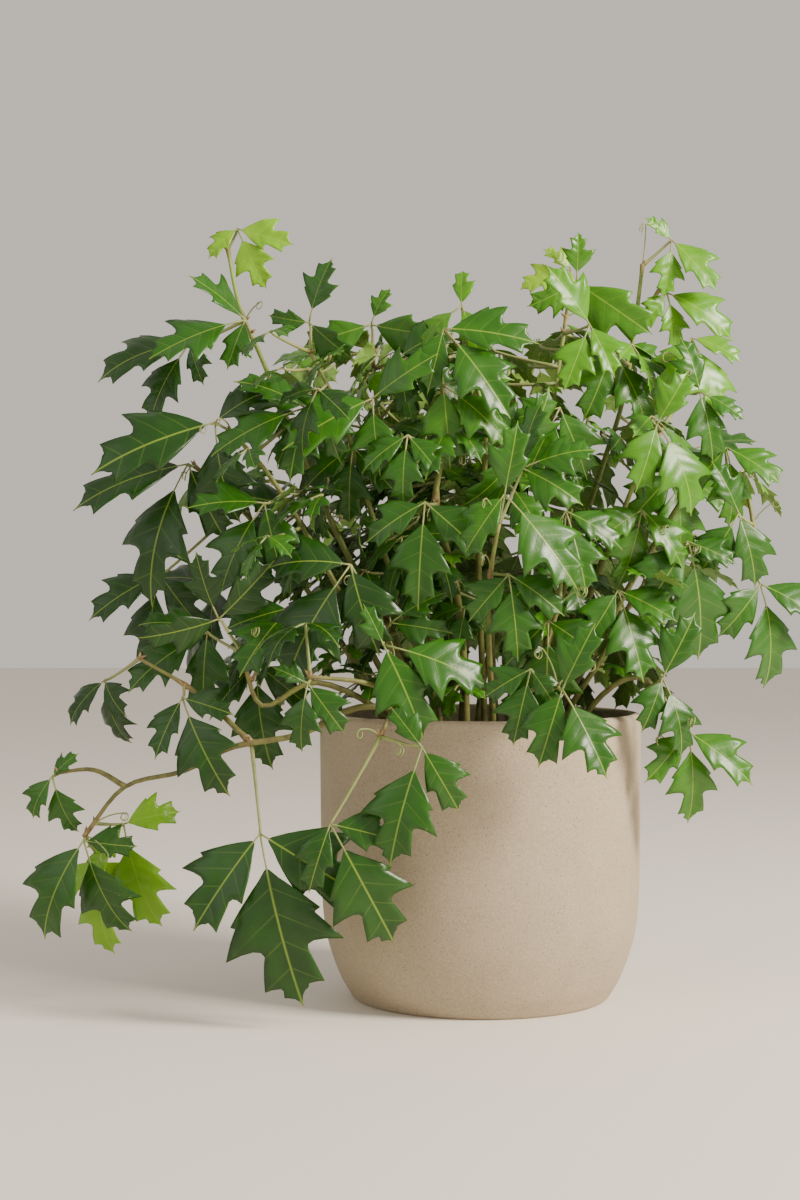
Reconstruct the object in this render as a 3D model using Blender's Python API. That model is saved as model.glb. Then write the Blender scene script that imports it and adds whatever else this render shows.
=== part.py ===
"""A grape ivy in its round planter.

The planter stands on z = 0 with its axis on the origin. Leafy stems rise from
plain holes in the potting mix and arch outwards. Every leaf has three lobed
leaflets on one stalk. A stem, its side shoots, stalks and leaflets are one body.
"""

import math
import random

import bmesh
import bpy
from mathutils import Matrix, Vector
from mathutils.bvhtree import BVHTree

MM = 0.001

# Planter: outer radius at each height, from the foot up, in millimetres.
POT_PROFILE = (
    (78.6, 0.0),
    (80.4, 1.4),
    (83.2, 6.0),
    (87.2, 13.0),
    (92.2, 26.0),
    (96.3, 41.0),
    (98.4, 60.0),
    (99.2, 90.0),
    (100.0, 172.5),
)
POT_HEIGHT = 176.0
RIM_RADIUS = 100.0
RIM_ROUND = 2.2
WALL = 7.0
FLOOR = 9.0
POT_SIDES = 36
TOUCH_GAP = 0.35

# Potting mix: its surface and what it is filled down to.
SOIL_TOP = 161.0
SOIL_MOUND = 2.5
HOLE_DEPTH = 26.0
HOLE_CLEARANCE = 0.5
HOLE_SIDES = 6
SOIL_SIDES = 20

# The plant is laid out as seen from the front, from this far off and this high.
VIEW_DISTANCE = 1250.0
EYE_HEIGHT = 246.0

BLADE_THICKNESS = 0.8
ARCH = (0.3, 0.8)
FOLD = (0.1, 0.6)
ARCH_MAKE_UP = 1.12
LEAST_SPREAD = 50
WIDEST_SPREAD = 125
FRONT_LEAN = (0.15, 0.5)
FACE_SPREAD = 0.003
FACE_LIFT = 0.7

# Where three leaflets meet there is a small hub, with the stalk behind it.
HUB_SIZE = 0.9
NECK_DEPTH = 1.4
NECK_REACH = 3.0
STALK_RADIUS = 1.0
STALK_FLARE = 1.1

STEM_SIDES = 4
STEM_TAPER = 0.5
SHOOT_SHARE = 0.8
ROUTE_STEPS = 6
ROUTE_SPACING = 42.0
ROUTE_SHARES = 4
COLLAR_RISE = 14.0

# Leaves are turned, rolled and shifted by up to this much to stand clear.
CLEARANCE = 0.5
TABLE_CLEARANCE = 2.0
SOIL_CLEARANCE = 4.5
POT_CLEARANCE = 1.4
ATTEMPTS = 220
MOST_TURN = 0.45
MOST_ROLL = 0.7
MOST_SHIFT = 22.0
MOST_PITCH = 0.9
SEED = 11

POT_COLOUR = (0.42, 0.36, 0.29)
SOIL_COLOUR = (0.03, 0.02, 0.014)
LEAF_COLOUR = (0.07, 0.2, 0.03)

# Half outlines, base to tip: (share of the blade's length, half width as a share of it).
TERMINAL_HALF = ((0.40, 0.36), (0.62, 0.40), (0.61, 0.15), (0.86, 0.20))
LATERAL_OUTER = ((0.34, 0.34), (0.60, 0.38), (0.59, 0.16), (0.84, 0.19))
LATERAL_INNER = ((0.46, 0.24), (0.76, 0.21))
BLADE_HEART = 0.5
TERMINAL_STALKLET = 0.20
LATERAL_STALKLET = 0.08
STALKLET_HALF_WIDTH = 0.9

# Each stem: name, radius at its foot, route, side shoots' routes and leaves, as seen from the front.
# A route point is (x, z, depth): depth is towards the viewer when negative.
# A leaf is (x, z, depth, three leaflets as (heading in degrees, length)).
FRONT_STEMS = (
    (
        "stem_top_left",
        2.4,
        ((-34, 130, -8), (-96, 300, -20), (-133, 387, -22), (-151, 430, -14), (-158, 466, -6)),
        (),
        (
            (-152, 478, -8, ((-66, 38), (-28, 34), (-140, 24))),
            (-148, 421, -30, ((196, 60), (134, 40), (-112, 30))),
            (-181, 406, -8, ((-124, 52), (-162, 58), (-78, 26))),
        ),
    ),
    (
        "stem_left_high",
        2.4,
        ((-48, 130, -26), (-100, 270, -44), (-138, 330, -50), (-158, 352, -52)),
        (),
        (
            (-168, 357, -58, ((-86, 62), (197, 76), (118, 38))),
            (-134, 306, -62, ((-132, 56), (-78, 44), (172, 44))),
            (-112, 366, -64, ((198, 60), (146, 44), (-104, 44))),
        ),
    ),
    (
        "stem_left_middle",
        2.4,
        ((-58, 130, -6), (-120, 268, -14), (-165, 318, -24), (-180, 330, -30)),
        (),
        (
            (-184, 331, -36, ((-118, 86), (203, 70), (-66, 50))),
            (-200, 262, -10, ((-106, 58), (-150, 48), (-66, 42))),
            (-150, 262, 24, ((-128, 62), (172, 46), (-76, 44))),
            (-113, 302, -24, ((-150, 60), (166, 48), (-104, 50))),
        ),
    ),
    (
        "stem_left_low",
        2.3,
        ((-62, 130, -40), (-112, 196, -60), (-148, 176, -66), (-152, 214, -70)),
        (),
        (
            (-161, 236, -74, ((108, 42), (196, 46), (42, 46))),
            (-128, 232, -66, ((-128, 54), (-84, 42), (-170, 40))),
            (-172, 226, -40, ((-152, 56), (-96, 44), (158, 40))),
            (-140, 206, -12, ((-88, 62), (-138, 42), (-38, 40))),
        ),
    ),
    (
        "stem_trailing",
        2.3,
        (
            (-48, 128, -62),
            (-92, 180, -92),
            (-112, 163, -96),
            (-147, 160, -90),
            (-178, 141, -80),
            (-208, 138, -70),
            (-225, 129, -64),
            (-250, 98, -58),
        ),
        (
            ((-147, 160, -90), (-168, 178, -74), (-191, 196, -62), (-216, 210, -52)),
            ((-225, 129, -64), (-241, 139, -58), (-257, 141, -54), (-266, 138, -50)),
        ),
        (
            (-251, 96, -60, ((-76, 62), (-106, 64), (-8, 32))),
            (-224, 106, -30, ((-78, 64), (18, 34), (-122, 34))),
            (-268, 136, -50, ((-74, 36), (-128, 28), (146, 20))),
            (-142, 100, -104, ((-79, 100), (-113, 66), (-46, 72))),
            (-192, 188, -64, ((-74, 64), (-116, 38), (-40, 34))),
            (-224, 202, -34, ((-94, 42), (-144, 34), (-44, 30))),
            (-238, 84, -28, ((-92, 56), (-52, 34), (-134, 34))),
        ),
    ),
    (
        "stem_rim",
        2.4,
        ((-34, 130, -66), (-52, 186, -98), (-62, 172, -112), (-68, 160, -118)),
        (((-52, 186, -98), (-84, 196, -112), (-112, 198, -116)),),
        (
            (-99, 106, -122, ((-60, 82), (-36, 46), (-96, 42))),
            (-43, 154, -124, ((-108, 70), (-74, 44), (-14, 30))),
            (-113, 194, -118, ((-104, 40), (-58, 36), (150, 22))),
        ),
    ),
    (
        "stem_front_left",
        2.4,
        ((-38, 130, -46), (-58, 214, -70), (-74, 250, -80)),
        (),
        (
            (-85, 268, -92, ((-126, 76), (170, 50), (-84, 56))),
            (-65, 218, -106, ((-12, 66), (-38, 60), (-96, 26))),
            (-50, 236, -70, ((52, 36), (112, 34), (0, 36))),
        ),
    ),
    (
        "stem_centre",
        2.9,
        ((-10, 130, -30), (-16, 250, -44), (-34, 330, -50), (-22, 358, -50), (-28, 398, -46)),
        (((-24, 354, -50), (-14, 366, -52)),),
        (
            (-38, 307, -84, ((-96, 62), (-152, 42), (-40, 46))),
            (-26, 380, -66, ((-34, 52), (-70, 48), (8, 42))),
            (-48, 348, -74, ((-98, 42), (-142, 34), (-56, 30))),
        ),
    ),
    (
        "stem_top_centre_left",
        2.3,
        ((-26, 130, -24), (-66, 290, -34), (-88, 362, -36), (-108, 402, -34)),
        (),
        (
            (-108, 419, -36, ((78, 38), (-46, 34), (176, 24))),
            (-70, 372, -66, ((-87, 44), (206, 60), (160, 44))),
            (-100, 374, -58, ((-126, 46), (-70, 38), (176, 44))),
        ),
    ),
    (
        "stem_top_centre",
        2.3,
        ((-22, 130, -4), (-46, 290, -14), (-64, 360, -18), (-68, 402, -20)),
        (),
        (
            (-69, 418, -22, ((72, 24), (-62, 42), (-14, 44))),
            (-52, 396, -36, ((-30, 44), (-84, 36), (30, 36))),
            (-84, 338, -40, ((-98, 44), (-52, 36), (-150, 36))),
        ),
    ),
    (
        "stem_top_centre_right",
        2.3,
        ((2, 130, -18), (-2, 270, -34), (2, 350, -44), (-12, 402, -50)),
        (),
        (
            (-18, 418, -60, ((-46, 64), (-12, 54), (-96, 38))),
            (-28, 424, -44, ((222, 34), (48, 24), (-60, 36))),
            (20, 340, -62, ((108, 40), (48, 42), (-80, 46))),
        ),
    ),
    (
        "stem_front_centre",
        2.3,
        ((6, 130, -48), (2, 244, -74), (8, 294, -86)),
        (),
        (
            (11, 312, -98, ((-46, 68), (206, 42), (-128, 40))),
            (22, 326, -82, ((24, 44), (82, 40), (-20, 42))),
            (14, 262, -92, ((-82, 50), (-124, 36), (-40, 40))),
        ),
    ),
    (
        "stem_right_high",
        2.3,
        ((18, 130, 0), (34, 290, -6), (46, 372, -6), (54, 424, -4)),
        (),
        (
            (60, 444, -4, ((86, 28), (-38, 52), (-104, 32))),
            (51, 446, 6, ((206, 32), (148, 20), (-106, 24))),
            (67, 418, -36, ((-112, 42), (-36, 42), (-72, 34))),
            (48, 366, -44, ((-118, 42), (-66, 44), (-170, 34))),
        ),
    ),
    (
        "stem_right_top",
        2.4,
        ((30, 130, 14), (64, 290, 12), (90, 372, 10), (98, 424, 8), (102, 456, 8)),
        (((98, 418, 8), (110, 436, 12), (115, 444, 12)),),
        (
            (120, 471, 4, ((-96, 34), (-62, 40), (-20, 20))),
            (117, 438, 8, ((-74, 34), (-52, 48), (-108, 26))),
            (82, 402, -14, ((-60, 50), (-104, 46), (-18, 40))),
        ),
    ),
    (
        "stem_right_outer",
        2.3,
        ((38, 130, -14), (76, 270, -28), (100, 330, -34), (118, 362, -30), (134, 384, -20)),
        (),
        (
            (133, 408, -12, ((-64, 54), (-90, 38), (-34, 32))),
            (108, 356, -62, ((-56, 58), (-106, 42), (60, 36))),
            (122, 326, 30, ((-78, 52), (-132, 42), (-26, 40))),
            (136, 376, -30, ((-24, 30), (-58, 42), (-100, 34))),
        ),
    ),
    (
        "stem_right_arch",
        2.5,
        ((50, 130, 2), (100, 266, 0), (132, 314, -6), (150, 334, -12), (164, 318, -18), (172, 282, -24)),
        (),
        (
            (152, 340, -28, ((-78, 46), (-44, 38), (-116, 34))),
            (160, 300, -40, ((-122, 40), (-84, 44), (-36, 34))),
            (174, 256, -30, ((-74, 62), (-104, 40), (-46, 44))),
        ),
    ),
    (
        "stem_right_middle",
        2.3,
        ((54, 130, -24), (84, 226, -34), (104, 264, -38), (120, 278, -40)),
        (),
        (
            (129, 281, -46, ((-74, 70), (-109, 54), (-22, 30))),
            (84, 252, -56, ((-72, 54), (-110, 38), (-34, 38))),
            (98, 300, -50, ((-96, 48), (-48, 42), (-142, 36))),
        ),
    ),
    (
        "stem_right_low",
        2.3,
        ((64, 128, -38), (96, 198, -50), (112, 190, -52), (126, 168, -50)),
        (),
        (
            (110, 198, -58, ((-58, 48), (86, 42), (-104, 34))),
            (127, 164, -52, ((-80, 54), (-54, 48), (-112, 38))),
        ),
    ),
    (
        "stem_front_right",
        2.3,
        ((26, 130, -56), (38, 220, -82), (46, 244, -92)),
        (),
        (
            (49, 254, -106, ((-80, 70), (-36, 40), (-128, 38))),
            (50, 300, -84, ((-72, 50), (-122, 40), (-24, 40))),
        ),
    ),
    (
        "stem_front_rim",
        2.3,
        ((16, 130, -70), (30, 194, -100), (44, 192, -110)),
        (),
        (
            (46, 190, -122, ((-58, 56), (-108, 42), (-84, 46))),
            (28, 202, -112, ((-106, 44), (-146, 32), (-60, 26))),
        ),
    ),
)

# Stems at the sides and the back follow a rule, one for each direction.
# Azimuth in degrees from +X, reach outwards and height of the highest point.
RULE_STEMS = (
    (10, 156, 330),
    (32, 130, 400),
    (50, 176, 300),
    (68, 124, 420),
    (88, 172, 340),
    (106, 124, 400),
    (124, 178, 310),
    (142, 132, 420),
    (160, 180, 330),
)
RULE_LEAVES = 3
RULE_LEAF_LENGTH = 60.0
RULE_RADIUS = 2.3
RULE_FOOT = (30, 52)
RULE_FOOT_BACK = 16.0
# Shares of the reach and of the rise that the route passes through.
RULE_BOW = ((0.22, 0.45), (0.58, 0.86), (0.86, 1.0), (1.0, 0.95))


def from_front(x, z, depth):
    """The point seen from the front at (x, z) in the plane of the axis, moved to depth."""
    scale = 1.0 + depth / VIEW_DISTANCE
    return Vector((x * scale, depth, EYE_HEIGHT + (z - EYE_HEIGHT) * scale))


def smooth_route(points, steps):
    """A Catmull-Rom curve through the points, with this many steps a span."""
    ends = [2 * points[0] - points[1]] + list(points) + [2 * points[-1] - points[-2]]
    route = []
    for a, b, c, d in zip(ends, ends[1:], ends[2:], ends[3:]):
        for k in range(steps):
            t = k / steps
            square = (2 * a - 5 * b + 4 * c - d) * t * t
            cube = (3 * b - a - 3 * c + d) * t**3
            route.append(0.5 * (2 * b + (c - a) * t + square + cube))
    route.append(points[-1].copy())
    return route


def spaced_route(points):
    """A smooth curve through the points, kept only as points about ROUTE_SPACING apart."""
    fine = smooth_route(points, ROUTE_STEPS)
    travelled = [0.0]
    for a, b in zip(fine, fine[1:]):
        travelled.append(travelled[-1] + (b - a).length)
    spans = max(2, round(travelled[-1] / ROUTE_SPACING))
    route = []
    for k in range(spans + 1):
        wanted = travelled[-1] * k / spans
        i = min(range(len(fine)), key=lambda n: abs(travelled[n] - wanted))
        route.append(fine[i])
    return route


def places_along(route):
    """Places on the straight spans of a route, none of them at its very end."""
    places = []
    for a, b in zip(route, route[1:]):
        places += [a.lerp(b, (k + 0.9) / ROUTE_SHARES) for k in range(ROUTE_SHARES)]
    return places


def at_right_angles(direction, wish):
    """The part of wish that is square to direction, as a unit vector."""
    side = wish - wish.dot(direction) * direction
    if side.length < 1e-4:
        side = direction.orthogonal()
    return side.normalized()


class Leaflet:
    """One blade: a flat outline bent over an arched midrib."""

    def __init__(self, root, direction, face, length, kind, arch, fold):
        self.root = root
        self.along = direction.normalized()
        self.up = at_right_angles(self.along, face)
        self.side = self.along.cross(self.up)
        self.length = length
        self.kind = kind
        self.arch = arch
        self.fold = fold
        self.stalklet = TERMINAL_STALKLET if kind == 0 else LATERAL_STALKLET

    def point(self, share, across, lift=0.0):
        """A point at a share of the length, across in millimetres, lifted off the blade's middle."""
        turn = self.arch * share
        reach = self.length * math.sin(turn) / self.arch
        drop = self.length * (1 - math.cos(turn)) / self.arch
        normal = self.up * math.cos(turn) + self.along * math.sin(turn)
        sag = self.fold * across * across / self.length
        return self.root + self.along * reach - self.up * drop + self.side * across + normal * (lift - sag)

    def outline(self):
        """(share, across) pairs from the stalk up one side, over the tip and down the other."""
        if self.kind == 0:
            right, left = TERMINAL_HALF, TERMINAL_HALF
        elif self.kind > 0:
            right, left = LATERAL_OUTER, LATERAL_INNER
        else:
            right, left = LATERAL_INNER, LATERAL_OUTER
        start, blade = self.stalklet, 1 - self.stalklet
        up = [(start + blade * a, b * blade * self.length) for a, b in right]
        down = [(start + blade * a, -b * blade * self.length) for a, b in reversed(left)]
        if self.kind == 0:
            up.insert(0, (start, STALKLET_HALF_WIDTH))
            down.append((start, -STALKLET_HALF_WIDTH))
        return up + [(1.0, 0.0)] + down

    def heart(self):
        """The place on the midrib that both faces are split from."""
        return self.stalklet + (1 - self.stalklet) * BLADE_HEART, 0.0


def tube(route, radii, sides):
    """Points and faces of a closed tube along a route."""
    points, faces = [], []
    wish = Vector((0.31, -0.83, 0.47))
    for i, centre in enumerate(route):
        before, after = route[max(i - 1, 0)], route[min(i + 1, len(route) - 1)]
        direction = (after - before).normalized()
        wish = at_right_angles(direction, wish)
        other = direction.cross(wish)
        for k in range(sides):
            angle = 2 * math.pi * k / sides
            points.append(centre + radii[i] * (math.cos(angle) * wish + math.sin(angle) * other))
    for i in range(len(route) - 1):
        for k in range(sides):
            a, b = i * sides + k, i * sides + (k + 1) % sides
            faces.append((a, b, b + sides))
            faces.append((a, b + sides, a + sides))
    last = (len(route) - 1) * sides
    for k in range(1, sides - 1):
        faces.append((0, k + 1, k))
        faces.append((last, last + k, last + k + 1))
    return points, faces


class Leaf:
    """Three leaflets on one stalk, which can be turned to stand clear of what is there."""

    def __init__(self, joint, headings, face, root, rng):
        tip_line = headings[0][0]
        face = at_right_angles(tip_line, face)
        across = tip_line.cross(face)
        laterals = sorted(headings[1:], key=lambda h: -h[0].dot(across))
        self.joint = joint
        self.headings = [headings[0]] + laterals
        self.face = face
        self.root = root
        self.arches = [rng.uniform(*ARCH) for _ in headings]
        self.folds = [rng.uniform(*FOLD) for _ in headings]
        self.pose(0.0, 0.0, Vector(), (0.0, 0.0, 0.0))

    def pose(self, turn, roll, shift, pitches):
        """Turns the leaf about its face, rolls it about its tip line, and shifts it. Pitches its leaflets."""
        tip_line = self.headings[0][0]
        spin = Matrix.Rotation(turn, 3, self.face) @ Matrix.Rotation(roll, 3, tip_line)
        self.hub = self.joint + shift
        self.hub_face = spin @ self.face
        self.hub_along = spin @ tip_line
        self.hub_side = self.hub_along.cross(self.hub_face)
        self.leaflets = []
        for i, (direction, length) in enumerate(self.headings):
            lean = spin @ direction
            lean = (lean + self.hub_face * pitches[i]).normalized()
            kind = (0, 1, -1)[i]
            self.leaflets.append(
                Leaflet(self.hub, lean, self.hub_face, length, kind, self.arches[i], self.folds[i])
            )

    def corners(self, lift):
        """The hub's corners: at the + and - side nearer the tip, then at the - and + side nearer the stalk."""
        middle = self.hub + self.hub_face * lift
        side, along = self.hub_side * HUB_SIZE, self.hub_along * HUB_SIZE
        return [middle + side + along, middle - side + along, middle - side - along, middle + side - along]

    def shell(self, extra=0.0, stalk=True):
        """Points and faces of the whole leaf as one closed body, thickened by extra."""
        half = (BLADE_THICKNESS + extra) / 2
        points = self.corners(half) + self.corners(-half)
        faces = [(0, 1, 2), (0, 2, 3), (2, 6, 7), (2, 7, 3)]
        # The corners that each leaflet starts from, on its - and on its + side.
        for leaflet, (left, right) in zip(self.leaflets, ((1, 0), (0, 3), (2, 1))):
            ring = leaflet.outline()
            first = len(points)
            count = len(ring)
            points += [leaflet.point(a, b, half) for a, b in ring + [leaflet.heart()]]
            points += [leaflet.point(a, b, -half) for a, b in ring + [leaflet.heart()]]
            upper = [left, right] + list(range(first, first + count))
            lower = [left + 4, right + 4] + list(range(first + count + 1, first + 2 * count + 1))
            heart_up, heart_down = first + count, first + 2 * count + 1
            for i in range(len(upper)):
                j = (i + 1) % len(upper)
                faces.append((upper[i], upper[j], heart_up))
                faces.append((lower[j], lower[i], heart_down))
                if i:
                    faces.append((upper[j], upper[i], lower[i]))
                    faces.append((upper[j], lower[i], lower[j]))
        if stalk:
            self.add_stalk(points, faces, extra)
        else:
            faces += [(4, 6, 5), (4, 7, 6)]
        return points, faces

    def add_stalk(self, points, faces, extra):
        """Adds the stalk, from behind the hub to its root inside the stem."""
        towards = (self.root - self.hub).normalized()
        neck = self.hub - self.hub_face * NECK_DEPTH + towards * NECK_REACH
        side, along = self.hub_side, self.hub_along
        down = -self.hub_face
        ring = [4, 5, 6, 7]
        for place, size in ((neck, STALK_RADIUS), (self.root, STALK_RADIUS * STALK_FLARE)):
            heading = (place - self.hub if place is neck else self.root - neck).normalized()
            bend = down.rotation_difference(heading).to_matrix()
            side, along, down = bend @ side, bend @ along, heading
            size += extra / 2
            first = len(points)
            for a, b in ((1, 1), (-1, 1), (-1, -1), (1, -1)):
                points.append(place + (side * a + along * b) * size * 0.7)
            after = list(range(first, first + 4))
            for k in range(4):
                m = (k + 1) % 4
                faces.append((ring[m], ring[k], after[k]))
                faces.append((ring[m], after[k], after[m]))
            ring = after
        faces += [(ring[0], ring[2], ring[1]), (ring[0], ring[3], ring[2])]

    def crosses_itself(self):
        """Whether parts of the leaf run through each other."""
        points, faces = self.shell()
        tree = BVHTree.FromPolygons(points, faces)
        return any(not set(faces[i]) & set(faces[j]) for i, j in tree.overlap(tree))


class Stem:
    """A stem with its side shoots and leaves: one node."""

    def __init__(self, name, radius, routes):
        self.name = name
        self.radius = radius
        self.routes = routes
        self.leaves = []

    def solids(self, extra=0.0):
        """Each route's tube, tapering to its tip."""
        found = []
        for i, route in enumerate(self.routes):
            thick = self.radius if i == 0 else self.radius * SHOOT_SHARE
            last = len(route) - 1
            radii = [thick * (1 - STEM_TAPER * k / last) + extra / 2 for k in range(last + 1)]
            found.append(tube(route, radii, STEM_SIDES))
        return found

    def nearest(self, joint):
        """The place on the routes, past the lowest stretch, that is nearest to the joint."""
        places = [p for route in self.routes for p in places_along(route)[ROUTE_SHARES:]]
        return min(places, key=lambda p: (p - joint).length)


class Space:
    """What is already placed, for testing whether a new solid stands clear."""

    def __init__(self):
        self.held = []

    def add(self, owner, solids):
        """Keeps these solids as taken by owner."""
        for points, faces in solids:
            low, high = bounds_of(points)
            self.held.append((owner, low, high, BVHTree.FromPolygons(points, faces)))

    def crossed(self, solids):
        """The owners of whatever these solids cross."""
        found = []
        for points, faces in solids:
            low, high = bounds_of(points)
            near = [h for h in self.held if boxes_meet(low, high, h[1], h[2])]
            if near:
                tree = BVHTree.FromPolygons(points, faces)
                found += [owner for owner, _, _, held in near if held.overlap(tree)]
        return found


def bounds_of(points):
    """Lowest and highest corner of a list of points."""
    low = [min(p[i] for p in points) for i in range(3)]
    high = [max(p[i] for p in points) for i in range(3)]
    return low, high


def boxes_meet(low_a, high_a, low_b, high_b):
    """Whether two boxes overlap."""
    return all(low_a[i] <= high_b[i] and low_b[i] <= high_a[i] for i in range(3))


def in_planter(point):
    """Whether a point is inside the planter or the mix, or too near to them or to the table."""
    if point.z < TABLE_CLEARANCE:
        return True
    across = math.hypot(point.x, point.y)
    inside = RIM_RADIUS - WALL - POT_CLEARANCE
    if point.z < SOIL_TOP + SOIL_CLEARANCE and across < inside:
        return True
    return point.z < POT_HEIGHT + POT_CLEARANCE and inside < across < RIM_RADIUS + POT_CLEARANCE


def front_direction(heading, lean):
    """A unit direction at a heading seen from the front, leaning towards the viewer."""
    angle = math.radians(heading)
    return Vector((math.cos(angle), -lean, math.sin(angle))).normalized()


def planted_route(points):
    """A stem's route: straight up out of its hole, then smooth through its points."""
    foot = Vector((points[0].x, points[0].y, SOIL_TOP - HOLE_DEPTH + TOUCH_GAP))
    collar = Vector((points[0].x, points[0].y, SOIL_TOP + COLLAR_RISE))
    return [foot] + spaced_route([collar] + points[1:])


def front_stem(row):
    """A stem of the front, without its leaves."""
    name, radius, points, shoots, _ = row
    routes = [planted_route([from_front(*p) for p in points])]
    for shoot in shoots:
        start, *rest = (from_front(*p) for p in shoot)
        start = min(places_along(routes[0]), key=lambda p: (p - start).length)
        routes.append(spaced_route([start] + rest))
    return Stem(name, radius, routes)


def spread_headings(leaflets):
    """The leaflets with their two side ones kept apart from the end one, on either side of it."""
    (tip, length), *sides = leaflets
    turns = sorted(((heading - tip + 180) % 360 - 180, size) for heading, size in sides)
    low, high = turns
    if high[0] < 0:
        low, high = high, (low[0] + 360, low[1])
    elif low[0] > 0:
        low, high = (high[0] - 360, high[1]), low
    low_turn = max(-WIDEST_SPREAD, min(-LEAST_SPREAD, low[0]))
    high_turn = min(WIDEST_SPREAD, max(LEAST_SPREAD, high[0]))
    return (tip, length), (tip + low_turn, low[1]), (tip + high_turn, high[1])


def front_leaf(spec, stem, rng):
    """A leaf placed as it is seen from the front."""
    x, z, depth, leaflets = spec
    scale = 1.0 + depth / VIEW_DISTANCE
    joint = from_front(x, z, depth)
    headings = []
    for heading, length in spread_headings(leaflets):
        direction = front_direction(heading, rng.uniform(*FRONT_LEAN))
        headings.append((direction, length * scale * ARCH_MAKE_UP))
    face = Vector((joint.x * FACE_SPREAD, -1.0, FACE_LIFT))
    return Leaf(joint, headings, face, stem.nearest(joint), rng)


def rule_stem(number, azimuth, reach, top, rng):
    """A stem at the side or the back: it rises, leans outwards and bows over at its tip."""
    angle = math.radians(azimuth)
    out = Vector((math.cos(angle), math.sin(angle), 0))
    across = Vector((-out.y, out.x, 0))
    foot = out * rng.uniform(*RULE_FOOT) + Vector((0, RULE_FOOT_BACK, 0))
    points = [foot]
    for share_out, share_up in RULE_BOW:
        sway = across * rng.uniform(-10, 10)
        height = SOIL_TOP + (top - SOIL_TOP) * share_up
        points.append(foot + out * (reach - foot.length) * share_out + sway + Vector((0, 0, height)))
    return Stem(f"stem_back_{number:02d}", RULE_RADIUS, [planted_route(points)])


def rule_leaf(stem, number, azimuth, rng):
    """A leaf on a stem at the side or the back, on alternate sides of it."""
    route = stem.routes[0]
    span = (0.42 + 0.57 * number / (RULE_LEAVES - 1)) * (len(route) - 1)
    place = route[int(span)].lerp(route[int(span) + 1], span % 1)
    angle = math.radians(azimuth + rng.uniform(-25, 25))
    out = Vector((math.cos(angle), math.sin(angle), 0))
    across = Vector((-out.y, out.x, 0)) * (1 if number % 2 else -1)
    last = number == RULE_LEAVES - 1
    sideways = 0.2 if last else rng.uniform(0.5, 1.0)
    way = (out + across * sideways + Vector((0, 0, rng.uniform(0.1, 0.5)))).normalized()
    joint = place + way * rng.uniform(16, 34)
    tip_line = (way + Vector((0, 0, -rng.uniform(0.7, 1.9)))).normalized()
    face = at_right_angles(tip_line, out * 0.8 + Vector((0, 0, 0.7)))
    length = RULE_LEAF_LENGTH * rng.uniform(0.8, 1.2) * (0.75 if last else 1.0)
    headings = [(tip_line, length)]
    for side in (-1, 1):
        splay = Matrix.Rotation(math.radians(side * rng.uniform(48, 68)), 3, face)
        headings.append((splay @ tip_line - face * 0.15, length * rng.uniform(0.72, 0.86)))
    return Leaf(joint, [(d.normalized(), size) for d, size in headings], face, place, rng)


def settle(leaf, stem, space, rng):
    """Turns, rolls and shifts the leaf to stand clear of others and best of its own stem. Says if it does."""
    best = None
    for attempt in range(ATTEMPTS):
        reach = attempt / ATTEMPTS
        pose = (
            rng.uniform(-1, 1) * MOST_TURN * reach,
            rng.uniform(-1, 1) * MOST_ROLL * reach,
            Vector([rng.uniform(-1, 1) for _ in range(3)]) * MOST_SHIFT * reach,
            [rng.uniform(-1, 1) * MOST_PITCH * reach for _ in range(3)],
        )
        leaf.pose(*pose)
        if any(in_planter(p) for p in leaf.shell(stalk=False)[0]):
            continue
        if any(name != stem.name for name in space.crossed([leaf.shell(CLEARANCE)])):
            continue
        own = len(space.crossed([leaf.shell(stalk=False)])) + leaf.crosses_itself()
        if best is None or own < best[0]:
            best = (own, pose)
        if own == 0:
            break
    if best is None or best[0]:
        print(f"{stem.name}: a leaf crosses its own stem's leaves or itself")
    if best is None:
        return False
    leaf.pose(*best[1])
    return True


def grow():
    """Every stem with its leaves, each clear of the others."""
    rng = random.Random(SEED)
    space = Space()
    stems = [(front_stem(row), [(front_leaf, spec) for spec in row[4]]) for row in FRONT_STEMS]
    for number, (azimuth, reach, top) in enumerate(RULE_STEMS):
        stem = rule_stem(number + 1, azimuth, reach, top, rng)
        stems.append((stem, [(rule_leaf, (k, azimuth)) for k in range(RULE_LEAVES)]))
    for stem, _ in stems:
        crossed = space.crossed(stem.solids(CLEARANCE))
        if crossed:
            print(f"{stem.name} crosses {crossed}")
        for route in stem.routes:
            if any(in_planter(p) for p in route[2:]):
                print(f"{stem.name} runs through the planter")
        space.add(stem.name, stem.solids())
    for stem, specs in stems:
        for make, spec in specs:
            if make is front_leaf:
                leaf = front_leaf(spec, stem, rng)
            else:
                leaf = rule_leaf(stem, *spec, rng)
            if settle(leaf, stem, space, rng):
                space.add(stem.name, [leaf.shell()])
                stem.leaves.append(leaf)
            else:
                print(f"{stem.name}: a leaf found no clear place")
    return [stem for stem, _ in stems]


def turned(profile, sides):
    """Points and faces of a solid of revolution. The profile starts and ends on the axis."""
    points = [Vector((0, 0, profile[0][1]))]
    for radius, z in profile[1:-1]:
        for k in range(sides):
            angle = 2 * math.pi * k / sides
            points.append(Vector((radius * math.cos(angle), radius * math.sin(angle), z)))
    points.append(Vector((0, 0, profile[-1][1])))
    faces = []
    for k in range(sides):
        faces.append((0, 1 + (k + 1) % sides, 1 + k))
    for ring in range(len(profile) - 3):
        for k in range(sides):
            a = 1 + ring * sides + k
            b = 1 + ring * sides + (k + 1) % sides
            faces.append((a, b, b + sides))
            faces.append((a, b + sides, a + sides))
    last = 1 + (len(profile) - 3) * sides
    for k in range(sides):
        faces.append((last + k, last + (k + 1) % sides, len(points) - 1))
    return points, faces


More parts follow.
